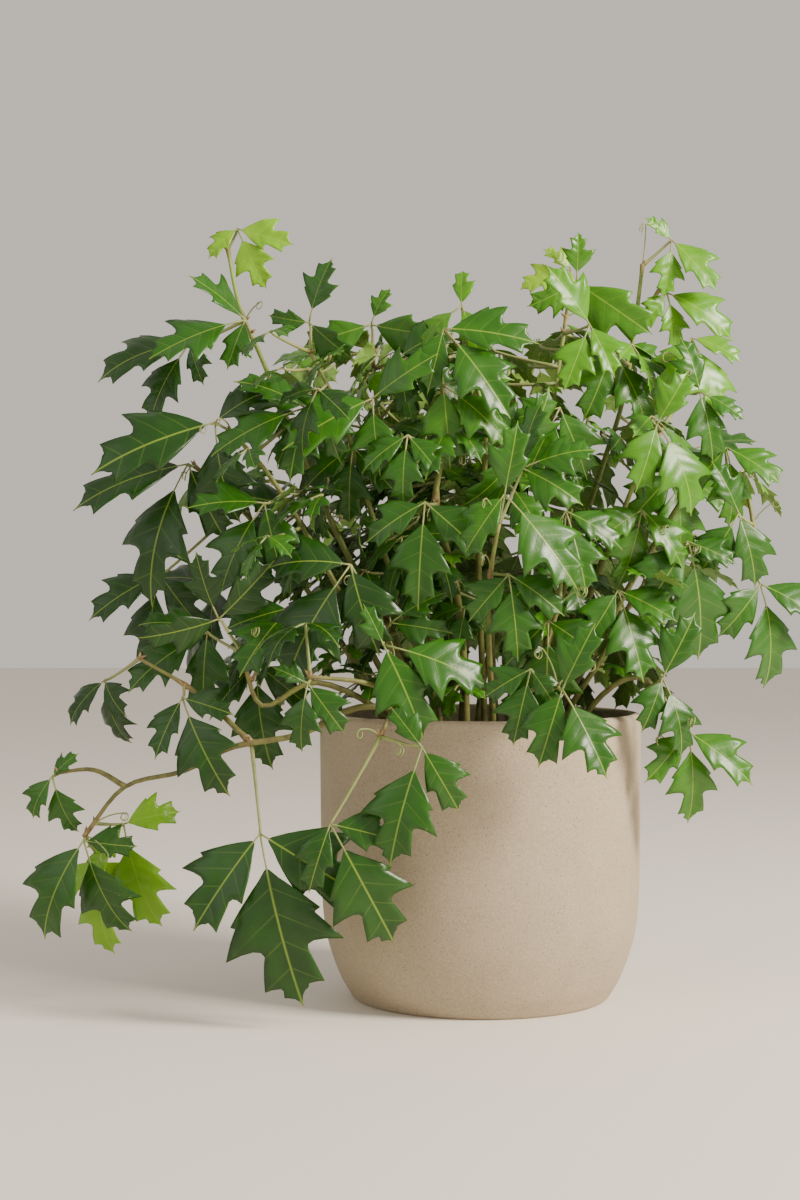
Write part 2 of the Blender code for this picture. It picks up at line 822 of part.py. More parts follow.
def inner_wall():
    """The planter's inside from the floor up, as (radius, z)."""
    wall = [(radius - WALL, z) for radius, z in POT_PROFILE[4::2]]
    return [(wall[0][0] - 6.0, FLOOR)] + wall


def pot_solid():
    """The planter, hollow and open at the top, with a rounded rim."""
    top, round_over = POT_HEIGHT, 0.3 * RIM_ROUND
    rim = [
        (RIM_RADIUS - round_over, top - round_over),
        (RIM_RADIUS - RIM_ROUND, top),
        (RIM_RADIUS - WALL + RIM_ROUND, top),
        (RIM_RADIUS - WALL + round_over, top - round_over),
    ]
    inside = list(reversed(inner_wall()))
    return turned([(0, 0.0)] + list(POT_PROFILE) + rim + inside + [(0, FLOOR)], POT_SIDES)


def soil_solid():
    """The potting mix, slightly mounded, before its holes."""
    side = [(r - TOUCH_GAP, max(z, FLOOR + TOUCH_GAP)) for r, z in inner_wall() if z < SOIL_TOP]
    edge = (RIM_RADIUS - WALL - 2 * TOUCH_GAP, SOIL_TOP)
    mound = (0.6 * RIM_RADIUS, SOIL_TOP + 0.6 * SOIL_MOUND)
    bottom, top = (0, FLOOR + TOUCH_GAP), (0, SOIL_TOP + SOIL_MOUND)
    return turned([bottom] + side + [edge, mound, top], SOIL_SIDES)


def hole_solid(stem):
    """The plain hole that a stem stands in."""
    foot = stem.routes[0][0]
    top = Vector((foot.x, foot.y, SOIL_TOP + 2 * SOIL_MOUND))
    bottom = Vector((foot.x, foot.y, SOIL_TOP - HOLE_DEPTH))
    radius = (stem.radius + HOLE_CLEARANCE) / math.cos(math.pi / HOLE_SIDES)
    return tube([bottom, top], [radius, radius], HOLE_SIDES)


def material(name, colour, roughness):
    """A plain material."""
    made = bpy.data.materials.new(name)
    made.use_nodes = True
    shader = made.node_tree.nodes["Principled BSDF"]
    shader.inputs["Base Color"].default_value = (*colour, 1.0)
    shader.inputs["Roughness"].default_value = roughness
    return made


def add_object(name, solid, collection, paint=None):
    """An object of the solid's points and faces, in metres."""
    points, faces = solid
    mesh = bpy.data.meshes.new(name)
    mesh.from_pydata([p * MM for p in points], [], faces)
    mesh.update()
    if paint:
        mesh.materials.append(paint)
    made = bpy.data.objects.new(name, mesh)
    collection.objects.link(made)
    return made


def combine(body, solids, operation, solver):
    """Unites the body with the solids, or cuts them out of it, and leaves a plain mesh."""
    pieces = bpy.data.collections.new(body.name + "_pieces")
    bpy.context.scene.collection.children.link(pieces)
    for i, solid in enumerate(solids):
        piece = add_object(f"{body.name}_piece_{i}", solid, pieces)
        piece.hide_render = True
        piece.display_type = "WIRE"
    step = body.modifiers.new("combine", "BOOLEAN")
    step.operation = operation
    step.operand_type = "COLLECTION"
    step.collection = pieces
    step.solver = solver
    if solver == "EXACT":
        step.use_self = operation == "UNION"
    depsgraph = bpy.context.evaluated_depsgraph_get()
    finished = bpy.data.meshes.new_from_object(body.evaluated_get(depsgraph))
    body.modifiers.remove(step)
    old = body.data
    body.data = finished
    bpy.data.meshes.remove(old)
    finished.name = body.name
    for piece in list(pieces.objects):
        bpy.data.objects.remove(piece)
    bpy.data.collections.remove(pieces)


def islands(work):
    """The connected parts of a mesh, each as a list of its faces."""
    left = set(work.faces)
    found = []
    while left:
        start = left.pop()
        part, edge_of_part = [start], [start]
        while edge_of_part:
            face = edge_of_part.pop()
            for edge in face.edges:
                for other in edge.link_faces:
                    if other in left:
                        left.discard(other)
                        part.append(other)
                        edge_of_part.append(other)
        found.append(part)
    return found


def volume_of(faces):
    """Six times the volume inside triangles, negative when they face inwards."""
    total = 0.0
    for face in faces:
        a, b, c = (vert.co for vert in face.verts)
        total += a.dot(b.cross(c))
    return total


def split_faces(body):
    """Splits faces into triangles and fills closed pockets. Says whether the body is closed."""
    work = bmesh.new()
    work.from_mesh(body.data)
    bmesh.ops.triangulate(work, faces=work.faces)
    parts = sorted(islands(work), key=len, reverse=True)
    for part in parts[1:]:
        if volume_of(part) < 0:
            bmesh.ops.delete(work, geom=part, context="FACES")
    closed = all(len(edge.link_faces) == 2 for edge in work.edges)
    work.to_mesh(body.data)
    work.free()
    return closed


def build():
    """The planter, the potting mix and the stems."""
    scene = bpy.context.scene.collection
    pot = add_object("pot", pot_solid(), scene, material("pot", POT_COLOUR, 0.8))
    pot.data.shade_smooth()
    pot.data.set_sharp_from_angle(angle=math.radians(30))
    stems = grow()
    soil = add_object("potting_mix", soil_solid(), scene, material("potting_mix", SOIL_COLOUR, 0.95))
    combine(soil, [hole_solid(stem) for stem in stems], "DIFFERENCE", "EXACT")
    split_faces(soil)
    for stem in stems:
        paint = material(stem.name, LEAF_COLOUR, 0.45)
        solids = stem.solids() + [leaf.shell() for leaf in stem.leaves]
        for solver in ("EXACT", "MANIFOLD"):
            body = add_object(stem.name, solids[0], scene, paint)
            combine(body, solids[1:], "UNION", solver)
            if split_faces(body):
                break
            print(f"{stem.name}: {solver} left open edges")
            if solver == "EXACT":
                bpy.data.objects.remove(body)


def main():
    """Clears the scene and builds the plant in its planter."""
    for old in list(bpy.data.objects):
        bpy.data.objects.remove(old)
    build()


main()
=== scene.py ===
"""The looks of a potted grape ivy: lobed leaves, stems, potting mix and planter.

The growth rules are the part's own, in millimetres, so each fine leaf lies where
the solid one does. Everything is scaled to metres when its mesh is made.
"""

import math
import random

import bpy
from mathutils import Matrix, Vector, noise
from mathutils.bvhtree import BVHTree

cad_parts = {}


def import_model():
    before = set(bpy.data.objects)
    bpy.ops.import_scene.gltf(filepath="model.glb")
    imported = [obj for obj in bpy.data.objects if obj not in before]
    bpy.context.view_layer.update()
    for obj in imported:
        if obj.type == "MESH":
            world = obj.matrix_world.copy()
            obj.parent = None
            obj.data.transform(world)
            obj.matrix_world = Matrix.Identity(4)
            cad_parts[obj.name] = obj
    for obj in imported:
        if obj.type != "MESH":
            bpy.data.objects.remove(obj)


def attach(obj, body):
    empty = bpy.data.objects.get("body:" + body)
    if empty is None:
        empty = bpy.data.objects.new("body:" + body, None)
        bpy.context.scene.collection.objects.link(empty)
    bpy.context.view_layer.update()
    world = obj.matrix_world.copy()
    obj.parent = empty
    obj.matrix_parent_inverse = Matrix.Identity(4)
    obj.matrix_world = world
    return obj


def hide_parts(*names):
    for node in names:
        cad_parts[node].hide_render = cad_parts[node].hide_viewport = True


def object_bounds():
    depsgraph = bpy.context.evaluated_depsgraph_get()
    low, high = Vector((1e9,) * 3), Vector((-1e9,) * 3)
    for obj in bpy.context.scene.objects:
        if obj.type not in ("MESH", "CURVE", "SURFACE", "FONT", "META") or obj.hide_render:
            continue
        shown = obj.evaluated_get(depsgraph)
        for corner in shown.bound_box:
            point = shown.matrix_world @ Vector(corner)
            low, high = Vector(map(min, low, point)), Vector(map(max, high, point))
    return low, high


MM = 0.001

# Planter: outer radius at each height, from the foot up, in millimetres.
POT_PROFILE = (
    (78.6, 0.0), (80.4, 1.4), (83.2, 6.0), (87.2, 13.0), (92.2, 26.0), (96.3, 41.0), (98.4, 60.0),
    (99.2, 90.0), (100.0, 172.5),
)
POT_HEIGHT = 176.0
RIM_RADIUS = 100.0
WALL = 7.0
FLOOR = 9.0
INNER_HEEL = 6.0
POT_SIDES = 144
TOUCH_GAP = 0.35

# Potting mix: its surface, and its side as (inset from its edge, height).
SOIL_TOP = 161.0
SOIL_MOUND = 2.5
SOIL_HEEL = 14.0
SOIL_FLANK = ((8.0, 40.0), (1.0, 90.0))
SOIL_RINGS = 34
SOIL_SIDES = 110
# Unevenness of its top, as (height, rate for a millimetre).
SOIL_WAVES = ((1.5, 0.09), (0.9, 0.4))
HOLE_DEPTH = 26.0
# Crumbs on it, in metres.
CRUMB_SIZES = {"Crumb radius": 0.0016, "Crumbs per square metre": 95000.0}
CRUMB_SEED = 7

# The plant is laid out as seen from the front, from this far off and this high.
VIEW_DISTANCE = 1250.0
EYE_HEIGHT = 246.0

# The solid blades, which the fine ones follow.
BLADE_THICKNESS = 0.8
ARCH = (0.3, 0.8)
FOLD = (0.1, 0.6)
ARCH_MAKE_UP = 1.12
LEAST_SPREAD = 50
WIDEST_SPREAD = 125
FRONT_LEAN = (0.15, 0.5)
FACE_SPREAD = 0.003
FACE_LIFT = 0.7

# Where three leaflets meet there is a small hub, with the stalk behind it.
HUB_SIZE = 0.9
NECK_DEPTH = 1.4
NECK_REACH = 3.0
STALK_RADIUS = 1.0
STALK_FLARE = 1.1

STEM_SIDES = 4
STEM_TAPER = 0.5
SHOOT_SHARE = 0.8
ROUTE_STEPS = 6
ROUTE_SPACING = 42.0
ROUTE_SHARES = 4
COLLAR_RISE = 14.0

# Leaves are turned, rolled and shifted by up to this much to stand clear.
CLEARANCE = 0.5
TABLE_CLEARANCE = 2.0
SOIL_CLEARANCE = 4.5
POT_CLEARANCE = 1.4
ATTEMPTS = 220
MOST_TURN = 0.45
MOST_ROLL = 0.7
MOST_SHIFT = 22.0
MOST_PITCH = 0.9
SEED = 11

# Half outlines of the solid blades, base to tip: (share of the length, half width as a share of it).
TERMINAL_HALF = ((0.40, 0.36), (0.62, 0.40), (0.61, 0.15), (0.86, 0.20))
LATERAL_OUTER = ((0.34, 0.34), (0.60, 0.38), (0.59, 0.16), (0.84, 0.19))
LATERAL_INNER = ((0.46, 0.24), (0.76, 0.21))
BLADE_HEART = 0.5
TERMINAL_STALKLET = 0.20
LATERAL_STALKLET = 0.08
STALKLET_HALF_WIDTH = 0.9

# Half outlines of the fine blades, as (share of the blade where the row starts, half width).
TERMINAL_RIGHT = (
    (0.0, 0.018), (0.03, 0.075), (0.135, 0.335), (0.175, 0.30), (0.315, 0.42), (0.50, 0.145), (0.705, 0.215),
    (0.80, 0.09), (0.845, 0.10), (1.0, 0.004),
)
TERMINAL_LEFT = (
    (0.0, 0.018), (0.03, 0.07), (0.135, 0.30), (0.185, 0.26), (0.315, 0.40), (0.49, 0.155), (0.705, 0.20),
    (0.81, 0.08), (1.0, 0.004),
)
OUTER_EDGE = (
    (0.0, 0.03), (0.02, 0.11), (0.135, 0.345), (0.18, 0.30), (0.315, 0.395), (0.49, 0.145), (0.705, 0.20),
    (0.80, 0.085), (1.0, 0.004),
)
INNER_EDGE = (
    (0.0, 0.018), (0.05, 0.06), (0.135, 0.15), (0.315, 0.26), (0.46, 0.15), (0.705, 0.205), (0.81, 0.075),
    (1.0, 0.004),
)
OUTLINE_STEP = 0.035
LOBE_FULLNESS = 0.8
LOBE_HOLLOW = 2.1
# Rows that dip at a side rib, between the blade's foot and its tip, and those with a pale rib.
RIBS = (0.0, 0.135, 0.315, 0.51, 0.705, 0.845, 1.0)
PALE_RIBS = (0.135, 0.315, 0.51, 0.705)
SWEEP_RIGHT = 0.72
SWEEP_LEFT = 0.82
# Places across half a blade that carry points, as shares of its half width there.
BLADE_COLUMNS = (-1.0, -0.72, -0.4, 0.0, 0.4, 0.72, 1.0)
BLADE_ROWS = 22
LEAST_ROW_GAP = 0.014
NEAR_TIP = 0.985

# Relief of a fine blade, in millimetres or as shares of its length. Wave, crease and droop
# reach their full size where the blade is this broad on one side.
LEAF_THICKNESS = 0.35
BROAD_HALF = 0.35
QUILT = 0.45
QUILT_RISE = 9.0
WAVE = 1.5
WAVE_RATE = 11.0
WAVE_LAG = 2.1
CREASE = 0.05
FOOT_RISE = 4.0
# Blades differ in curl and breadth by a phase that comes from where they are.
CURL = 0.11
CURL_RATE = 3.1
BREADTH_CHANGE = 0.07
BREADTH_RATE = 1.7
PHASE_ACROSS = 0.37
PHASE_UP = 0.21

# Stalks, stems, bud scales and tendrils, in millimetres.
STALK_SAG = 0.03
STALKLET_RADII = (0.62, 0.55, 0.5, 0.2)
FINE_STEPS = 5
NODE_REACH = 3.0
NODE_SWELL = 0.45
WOOD_REACH = 9.0
WOOD_SHARE = 0.25
BUD_LENGTH = (3.5, 6.0)
BUD_RADII = (1.1, 0.9, 0.15)
TENDRIL_THICK = 0.5
TENDRIL_REACH = (14, 26)
COIL_TURNS = (1.2, 2.4)
COIL_RADIUS = (2.0, 3.6)
COIL_PITCH = 0.16
COIL_STEPS = 10

# A leaf's tone: more higher up and when small, as young growth is; more to the right as painted light and
# less to the left as painted shade.
OLD_TONE = 0.12
RIGHT_PAINTED_LIGHT = 0.2
HIGH_TONE = 0.28
LEFT_PAINTED_SHADE = 0.1
SMALL_LEAF = 40
SMALL_TONE = 0.2
MOST_TONE = 0.85
TONE_CHANGE = 0.14
# Young or pale leaves behind the given depth, as (x, z, reach, tone, longest leaflet).
YOUNG_PLACES = ((-152, 478, 30, 0.82, 99), (51, 446, 16, 0.9, 40), (-231, 95, 30, 0.78, 99))
YOUNG_DEPTH = -47

# Extra small leaves: azimuths in degrees, distances out from the axis and heights.
EXTRA_LEAVES = 280
EXTRA_LEFT_SHARE = 0.3
EXTRA_LEFT = (150.0, 250.0)
EXTRA_LEAST_OUT = 12
EXTRA_OUT = 125
EXTRA_LEFT_OUT = 165
EXTRA_HEIGHT = (192, 415)
EXTRA_LENGTH = (27.0, 47.0)
EXTRA_SIDE_SHARE = (0.7, 0.85)
EXTRA_SPLAY = (55, 75)
EXTRA_REACH = 48.0
# None is in front of the first place, apart from those left of the second.
EXTRA_FRONT = -48.0
EXTRA_FRONT_LEFT = -95.0

# Materials of a foliage piece, in their order.
UPPER, UNDER, STALK, BARK = range(4)
# Colours as (place, colour) stops, from dark to light or from old to young.
UPPER_GREENS = (
    (0.0, (0.008, 0.046, 0.0015)), (0.3, (0.022, 0.108, 0.002)), (0.6, (0.080, 0.260, 0.003)),
    (0.8, (0.18, 0.40, 0.006)), (1.0, (0.33, 0.53, 0.02)),
)
UNDER_GREENS = ((0.0, (0.09, 0.19, 0.03)), (0.5, (0.17, 0.31, 0.05)), (1.0, (0.33, 0.50, 0.08)))
STALK_GREENS = ((0.3, (0.13, 0.20, 0.05)), (0.5, (0.24, 0.30, 0.09)), (0.7, (0.34, 0.28, 0.13)))
BARK_GREENS = (
    (0.2, (0.085, 0.075, 0.022)), (0.4, (0.16, 0.155, 0.04)), (0.7, (0.20, 0.26, 0.05)),
    (1.0, (0.22, 0.36, 0.06)),
)
BARK_BROWNS = ((0.3, (0.17, 0.095, 0.035)), (0.7, (0.42, 0.28, 0.13)))
STONE_COLOURS = (
    (0.26, (0.26, 0.20, 0.13)), (0.36, (0.37, 0.30, 0.205)), (0.46, (0.42, 0.345, 0.24)),
    (0.58, (0.52, 0.44, 0.32)),
)
EARTH_COLOURS = ((0.3, (0.012, 0.008, 0.006)), (0.55, (0.035, 0.022, 0.014)), (0.8, (0.09, 0.06, 0.04)))
MOTTLE = 0.34
LEAF_GLOSS = 0.42
# Where a rib, a pin hole or the stems' green starts and ends, on the blade's map or in metres.
MIDRIB_EDGE = (0.003, 0.012)
RIB_EDGE = (0.002, 0.010)
BARK_HEIGHTS = (0.15, 0.44)
PIT_EDGE = (0.04, 0.13)
# The painted shade inside the planter's pin holes.
PIT_SHADE_COLOUR = (0.16, 0.125, 0.09, 1.0)
PIT_RELIEF = 1.5

# Camera and room, in metres. A lamp is (name, place, target, size, power, colour).
CAMERA_AT = (-0.05, -1.25, 0.246)
CAMERA_LENS = 60.0
FLOOR_REACH = 6.0
FLOOR_COLOUR = (0.80, 0.75, 0.68, 1.0)
SKY_COLOUR = (1.0, 0.93, 0.84, 1.0)
SKY_STRENGTH = 0.7
LAMPS = (
    ("key", (1.45, -0.8, 1.2), (0, 0, 0.25), 0.6, 78.0, (1.0, 0.91, 0.78)),
    ("fill", (-1.3, -1.0, 0.9), (0, 0, 0.2), 1.2, 4.0, (1.0, 0.98, 0.95)),
)

# Each stem: name, radius at its foot, route, side shoots' routes and leaves, as seen from the front.
# A route point is (x, z, depth): depth is towards the viewer when negative.
# A leaf is (x, z, depth, and for each leaflet its heading in degrees and its length).
FRONT_STEMS = (
    ("stem_top_left", 2.4,
     ((-34, 130, -8), (-96, 300, -20), (-133, 387, -22), (-151, 430, -14), (-158, 466, -6)), (),
     ((-152, 478, -8, -66, 38, -28, 34, -140, 24), (-148, 421, -30, 196, 60, 134, 40, -112, 30),
      (-181, 406, -8, -124, 52, -162, 58, -78, 26))),
    ("stem_left_high", 2.4,
     ((-48, 130, -26), (-100, 270, -44), (-138, 330, -50), (-158, 352, -52)), (),
     ((-168, 357, -58, -86, 62, 197, 76, 118, 38), (-134, 306, -62, -132, 56, -78, 44, 172, 44),
      (-112, 366, -64, 198, 60, 146, 44, -104, 44))),
    ("stem_left_middle", 2.4,
     ((-58, 130, -6), (-120, 268, -14), (-165, 318, -24), (-180, 330, -30)), (),
     ((-184, 331, -36, -118, 86, 203, 70, -66, 50), (-200, 262, -10, -106, 58, -150, 48, -66, 42),
      (-150, 262, 24, -128, 62, 172, 46, -76, 44), (-113, 302, -24, -150, 60, 166, 48, -104, 50))),
    ("stem_left_low", 2.3,
     ((-62, 130, -40), (-112, 196, -60), (-148, 176, -66), (-152, 214, -70)), (),
     ((-161, 236, -74, 108, 42, 196, 46, 42, 46), (-128, 232, -66, -128, 54, -84, 42, -170, 40),
      (-172, 226, -40, -152, 56, -96, 44, 158, 40), (-140, 206, -12, -88, 62, -138, 42, -38, 40))),
    ("stem_trailing", 2.3,
     ((-48, 128, -62), (-92, 180, -92), (-112, 163, -96), (-147, 160, -90), (-178, 141, -80),
      (-208, 138, -70), (-225, 129, -64), (-250, 98, -58)),
     (((-147, 160, -90), (-168, 178, -74), (-191, 196, -62), (-216, 210, -52)),
      ((-225, 129, -64), (-241, 139, -58), (-257, 141, -54), (-266, 138, -50))),
     ((-251, 96, -60, -76, 62, -106, 64, -8, 32), (-224, 106, -30, -78, 64, 18, 34, -122, 34),
      (-268, 136, -50, -74, 36, -128, 28, 146, 20), (-142, 100, -104, -79, 100, -113, 66, -46, 72),
      (-192, 188, -64, -74, 64, -116, 38, -40, 34), (-224, 202, -34, -94, 42, -144, 34, -44, 30),
      (-238, 84, -28, -92, 56, -52, 34, -134, 34))),
    ("stem_rim", 2.4,
     ((-34, 130, -66), (-52, 186, -98), (-62, 172, -112), (-68, 160, -118)),
     (((-52, 186, -98), (-84, 196, -112), (-112, 198, -116)),),
     ((-99, 106, -122, -60, 82, -36, 46, -96, 42), (-43, 154, -124, -108, 70, -74, 44, -14, 30),
      (-113, 194, -118, -104, 40, -58, 36, 150, 22))),
    ("stem_front_left", 2.4,
     ((-38, 130, -46), (-58, 214, -70), (-74, 250, -80)), (),
     ((-85, 268, -92, -126, 76, 170, 50, -84, 56), (-65, 218, -106, -12, 66, -38, 60, -96, 26),
      (-50, 236, -70, 52, 36, 112, 34, 0, 36))),
    ("stem_centre", 2.9,
     ((-10, 130, -30), (-16, 250, -44), (-34, 330, -50), (-22, 358, -50), (-28, 398, -46)),
     (((-24, 354, -50), (-14, 366, -52)),),
     ((-38, 307, -84, -96, 62, -152, 42, -40, 46), (-26, 380, -66, -34, 52, -70, 48, 8, 42),
      (-48, 348, -74, -98, 42, -142, 34, -56, 30))),
    ("stem_top_centre_left", 2.3,
     ((-26, 130, -24), (-66, 290, -34), (-88, 362, -36), (-108, 402, -34)), (),
     ((-108, 419, -36, 78, 38, -46, 34, 176, 24), (-70, 372, -66, -87, 44, 206, 60, 160, 44),
      (-100, 374, -58, -126, 46, -70, 38, 176, 44))),
    ("stem_top_centre", 2.3,
     ((-22, 130, -4), (-46, 290, -14), (-64, 360, -18), (-68, 402, -20)), (),
     ((-69, 418, -22, 72, 24, -62, 42, -14, 44), (-52, 396, -36, -30, 44, -84, 36, 30, 36),
      (-84, 338, -40, -98, 44, -52, 36, -150, 36))),
    ("stem_top_centre_right", 2.3,
     ((2, 130, -18), (-2, 270, -34), (2, 350, -44), (-12, 402, -50)), (),
     ((-18, 418, -60, -46, 64, -12, 54, -96, 38), (-28, 424, -44, 222, 34, 48, 24, -60, 36),
      (20, 340, -62, 108, 40, 48, 42, -80, 46))),
    ("stem_front_centre", 2.3,
     ((6, 130, -48), (2, 244, -74), (8, 294, -86)), (),
     ((11, 312, -98, -46, 68, 206, 42, -128, 40), (22, 326, -82, 24, 44, 82, 40, -20, 42),
      (14, 262, -92, -82, 50, -124, 36, -40, 40))),
    ("stem_right_high", 2.3,
     ((18, 130, 0), (34, 290, -6), (46, 372, -6), (54, 424, -4)), (),
     ((60, 444, -4, 86, 28, -38, 52, -104, 32), (51, 446, 6, 206, 32, 148, 20, -106, 24),
      (67, 418, -36, -112, 42, -36, 42, -72, 34), (48, 366, -44, -118, 42, -66, 44, -170, 34))),
    ("stem_right_top", 2.4,
     ((30, 130, 14), (64, 290, 12), (90, 372, 10), (98, 424, 8), (102, 456, 8)),
     (((98, 418, 8), (110, 436, 12), (115, 444, 12)),),
     ((120, 471, 4, -96, 34, -62, 40, -20, 20), (117, 438, 8, -74, 34, -52, 48, -108, 26),
      (82, 402, -14, -60, 50, -104, 46, -18, 40))),
    ("stem_right_outer", 2.3,
     ((38, 130, -14), (76, 270, -28), (100, 330, -34), (118, 362, -30), (134, 384, -20)), (),
     ((133, 408, -12, -64, 54, -90, 38, -34, 32), (108, 356, -62, -56, 58, -106, 42, 60, 36),
      (122, 326, 30, -78, 52, -132, 42, -26, 40), (136, 376, -30, -24, 30, -58, 42, -100, 34))),
    ("stem_right_arch", 2.5,
     ((50, 130, 2), (100, 266, 0), (132, 314, -6), (150, 334, -12), (164, 318, -18), (172, 282, -24)), (),
     ((152, 340, -28, -78, 46, -44, 38, -116, 34), (160, 300, -40, -122, 40, -84, 44, -36, 34),
      (174, 256, -30, -74, 62, -104, 40, -46, 44))),
    ("stem_right_middle", 2.3,
     ((54, 130, -24), (84, 226, -34), (104, 264, -38), (120, 278, -40)), (),
     ((129, 281, -46, -74, 70, -109, 54, -22, 30), (84, 252, -56, -72, 54, -110, 38, -34, 38),
      (98, 300, -50, -96, 48, -48, 42, -142, 36))),
    ("stem_right_low", 2.3,
     ((64, 128, -38), (96, 198, -50), (112, 190, -52), (126, 168, -50)), (),
     ((110, 198, -58, -58, 48, 86, 42, -104, 34), (127, 164, -52, -80, 54, -54, 48, -112, 38))),
    ("stem_front_right", 2.3,
     ((26, 130, -56), (38, 220, -82), (46, 244, -92)), (),
     ((49, 254, -106, -80, 70, -36, 40, -128, 38), (50, 300, -84, -72, 50, -122, 40, -24, 40))),
    ("stem_front_rim", 2.3,
     ((16, 130, -70), (30, 194, -100), (44, 192, -110)), (),
     ((46, 190, -122, -58, 56, -108, 42, -84, 46), (28, 202, -112, -106, 44, -146, 32, -60, 26))),
)

# Stems at the sides and the back follow a rule, one for each direction.
# Azimuth in degrees from +X, reach outwards and height of the highest point.
RULE_STEMS = (
    (10, 156, 330), (32, 130, 400), (50, 176, 300), (68, 124, 420), (88, 172, 340), (106, 124, 400),
    (124, 178, 310), (142, 132, 420), (160, 180, 330),
)
# Their leaves, from the first one's share of the route, by turns and stalks up to these.
RULE_LEAVES = 3
RULE_FIRST = 0.42
RULE_SPAN = 0.57
RULE_TURN = 25
RULE_STALK = (16, 34)
RULE_DROOP = (0.7, 1.9)
RULE_LEAF_LENGTH = 60.0
RULE_SIZES = (0.8, 1.2)
RULE_TIP_SIZE = 0.75
RULE_SPLAY = (48, 68)
RULE_SIDE_SHARE = (0.72, 0.86)
RULE_RADIUS = 2.3
RULE_FOOT = (30, 52)
RULE_FOOT_BACK = 16.0
RULE_SWAY = 10
# Shares of the reach and of the rise that the route passes through.
RULE_BOW = ((0.22, 0.45), (0.58, 0.86), (0.86, 1.0), (1.0, 0.95))


def from_front(x, z, depth):
    """The point that is seen at (x, z) in the plane of the axis, moved to depth."""
    scale = 1.0 + depth / VIEW_DISTANCE
    return Vector((x * scale, depth, EYE_HEIGHT + (z - EYE_HEIGHT) * scale))


def smooth_route(points, steps):
    """A Catmull-Rom curve through the points, with this many steps a span."""
    ends = [2 * points[0] - points[1]] + list(points) + [2 * points[-1] - points[-2]]
    route = []
    for a, b, c, d in zip(ends, ends[1:], ends[2:], ends[3:]):
        for k in range(steps):
            t = k / steps
            square = (2 * a - 5 * b + 4 * c - d) * t * t
            cube = (3 * b - a - 3 * c + d) * t**3
            route.append(0.5 * (2 * b + (c - a) * t + square + cube))
    route.append(points[-1].copy())
    return route


def spaced_route(points):
    """A smooth curve through the points, as points about ROUTE_SPACING apart."""
    fine = smooth_route(points, ROUTE_STEPS)
    travelled = [0.0]
    for a, b in zip(fine, fine[1:]):
        travelled.append(travelled[-1] + (b - a).length)
    spans = max(2, round(travelled[-1] / ROUTE_SPACING))
    route = []
    for k in range(spans + 1):
        wanted = travelled[-1] * k / spans
        i = min(range(len(fine)), key=lambda n: abs(travelled[n] - wanted))
        route.append(fine[i])
    return route


def places_along(route):
    """Places on the straight spans of a route, none of them at its very end."""
    places = []
    for a, b in zip(route, route[1:]):
        places += [a.lerp(b, (k + 0.9) / ROUTE_SHARES) for k in range(ROUTE_SHARES)]
    return places


def at_right_angles(direction, wish):
    """The part of wish that is square to direction, as a unit vector."""
    side = wish - wish.dot(direction) * direction
    if side.length < 1e-4:
        side = direction.orthogonal()
    return side.normalized()


class Leaflet:
    """One blade: a flat outline bent over an arched midrib."""

    def __init__(self, root, direction, face, length, kind, arch, fold):
        self.root, self.length, self.kind, self.arch, self.fold = root, length, kind, arch, fold
        self.along = direction.normalized()
        self.up = at_right_angles(self.along, face)
        self.side = self.along.cross(self.up)
        self.stalklet = TERMINAL_STALKLET if kind == 0 else LATERAL_STALKLET

    def point(self, share, across, lift=0.0):
        """A point at a share of the length and so far across, lifted off the blade's middle."""
        turn = self.arch * share
        reach = self.length * math.sin(turn) / self.arch
        drop = self.length * (1 - math.cos(turn)) / self.arch
        normal = self.up * math.cos(turn) + self.along * math.sin(turn)
        sag = self.fold * across * across / self.length
        return self.root + self.along * reach - self.up * drop + self.side * across + normal * (lift - sag)

    def outline(self):
        """(share, across) pairs from the stalk up one side, over the tip and down the other."""
        if self.kind == 0:
            right, left = TERMINAL_HALF, TERMINAL_HALF
        elif self.kind > 0:
            right, left = LATERAL_OUTER, LATERAL_INNER
        else:
            right, left = LATERAL_INNER, LATERAL_OUTER
        start, blade = self.stalklet, 1 - self.stalklet
        up = [(start + blade * a, b * blade * self.length) for a, b in right]
        down = [(start + blade * a, -b * blade * self.length) for a, b in reversed(left)]
        if self.kind == 0:
            up.insert(0, (start, STALKLET_HALF_WIDTH))
            down.append((start, -STALKLET_HALF_WIDTH))
        return up + [(1.0, 0.0)] + down

    def heart(self):
        """The place on the midrib that both faces are split from."""
        return self.stalklet + (1 - self.stalklet) * BLADE_HEART, 0.0


def bands(rings, sides, first=0):
    """Faces between rings of points that follow each other."""
    faces = []
    for i in range(rings - 1):
        for k in range(sides):
            a, b = first + i * sides + k, first + i * sides + (k + 1) % sides
            faces += [(a, b, b + sides), (a, b + sides, a + sides)]
    return faces


def tube(route, radii, sides):
    """Points and faces of a closed tube along a route."""
    points, faces = [], bands(len(route), sides)
    wish = Vector((0.31, -0.83, 0.47))
    for i, centre in enumerate(route):
        before, after = route[max(i - 1, 0)], route[min(i + 1, len(route) - 1)]
        direction = (after - before).normalized()
        wish = at_right_angles(direction, wish)
        other = direction.cross(wish)
        for k in range(sides):
            angle = 2 * math.pi * k / sides
            points.append(centre + radii[i] * (math.cos(angle) * wish + math.sin(angle) * other))
    last = (len(route) - 1) * sides
    for k in range(1, sides - 1):
        faces += [(0, k + 1, k), (last, last + k, last + k + 1)]
    return points, faces


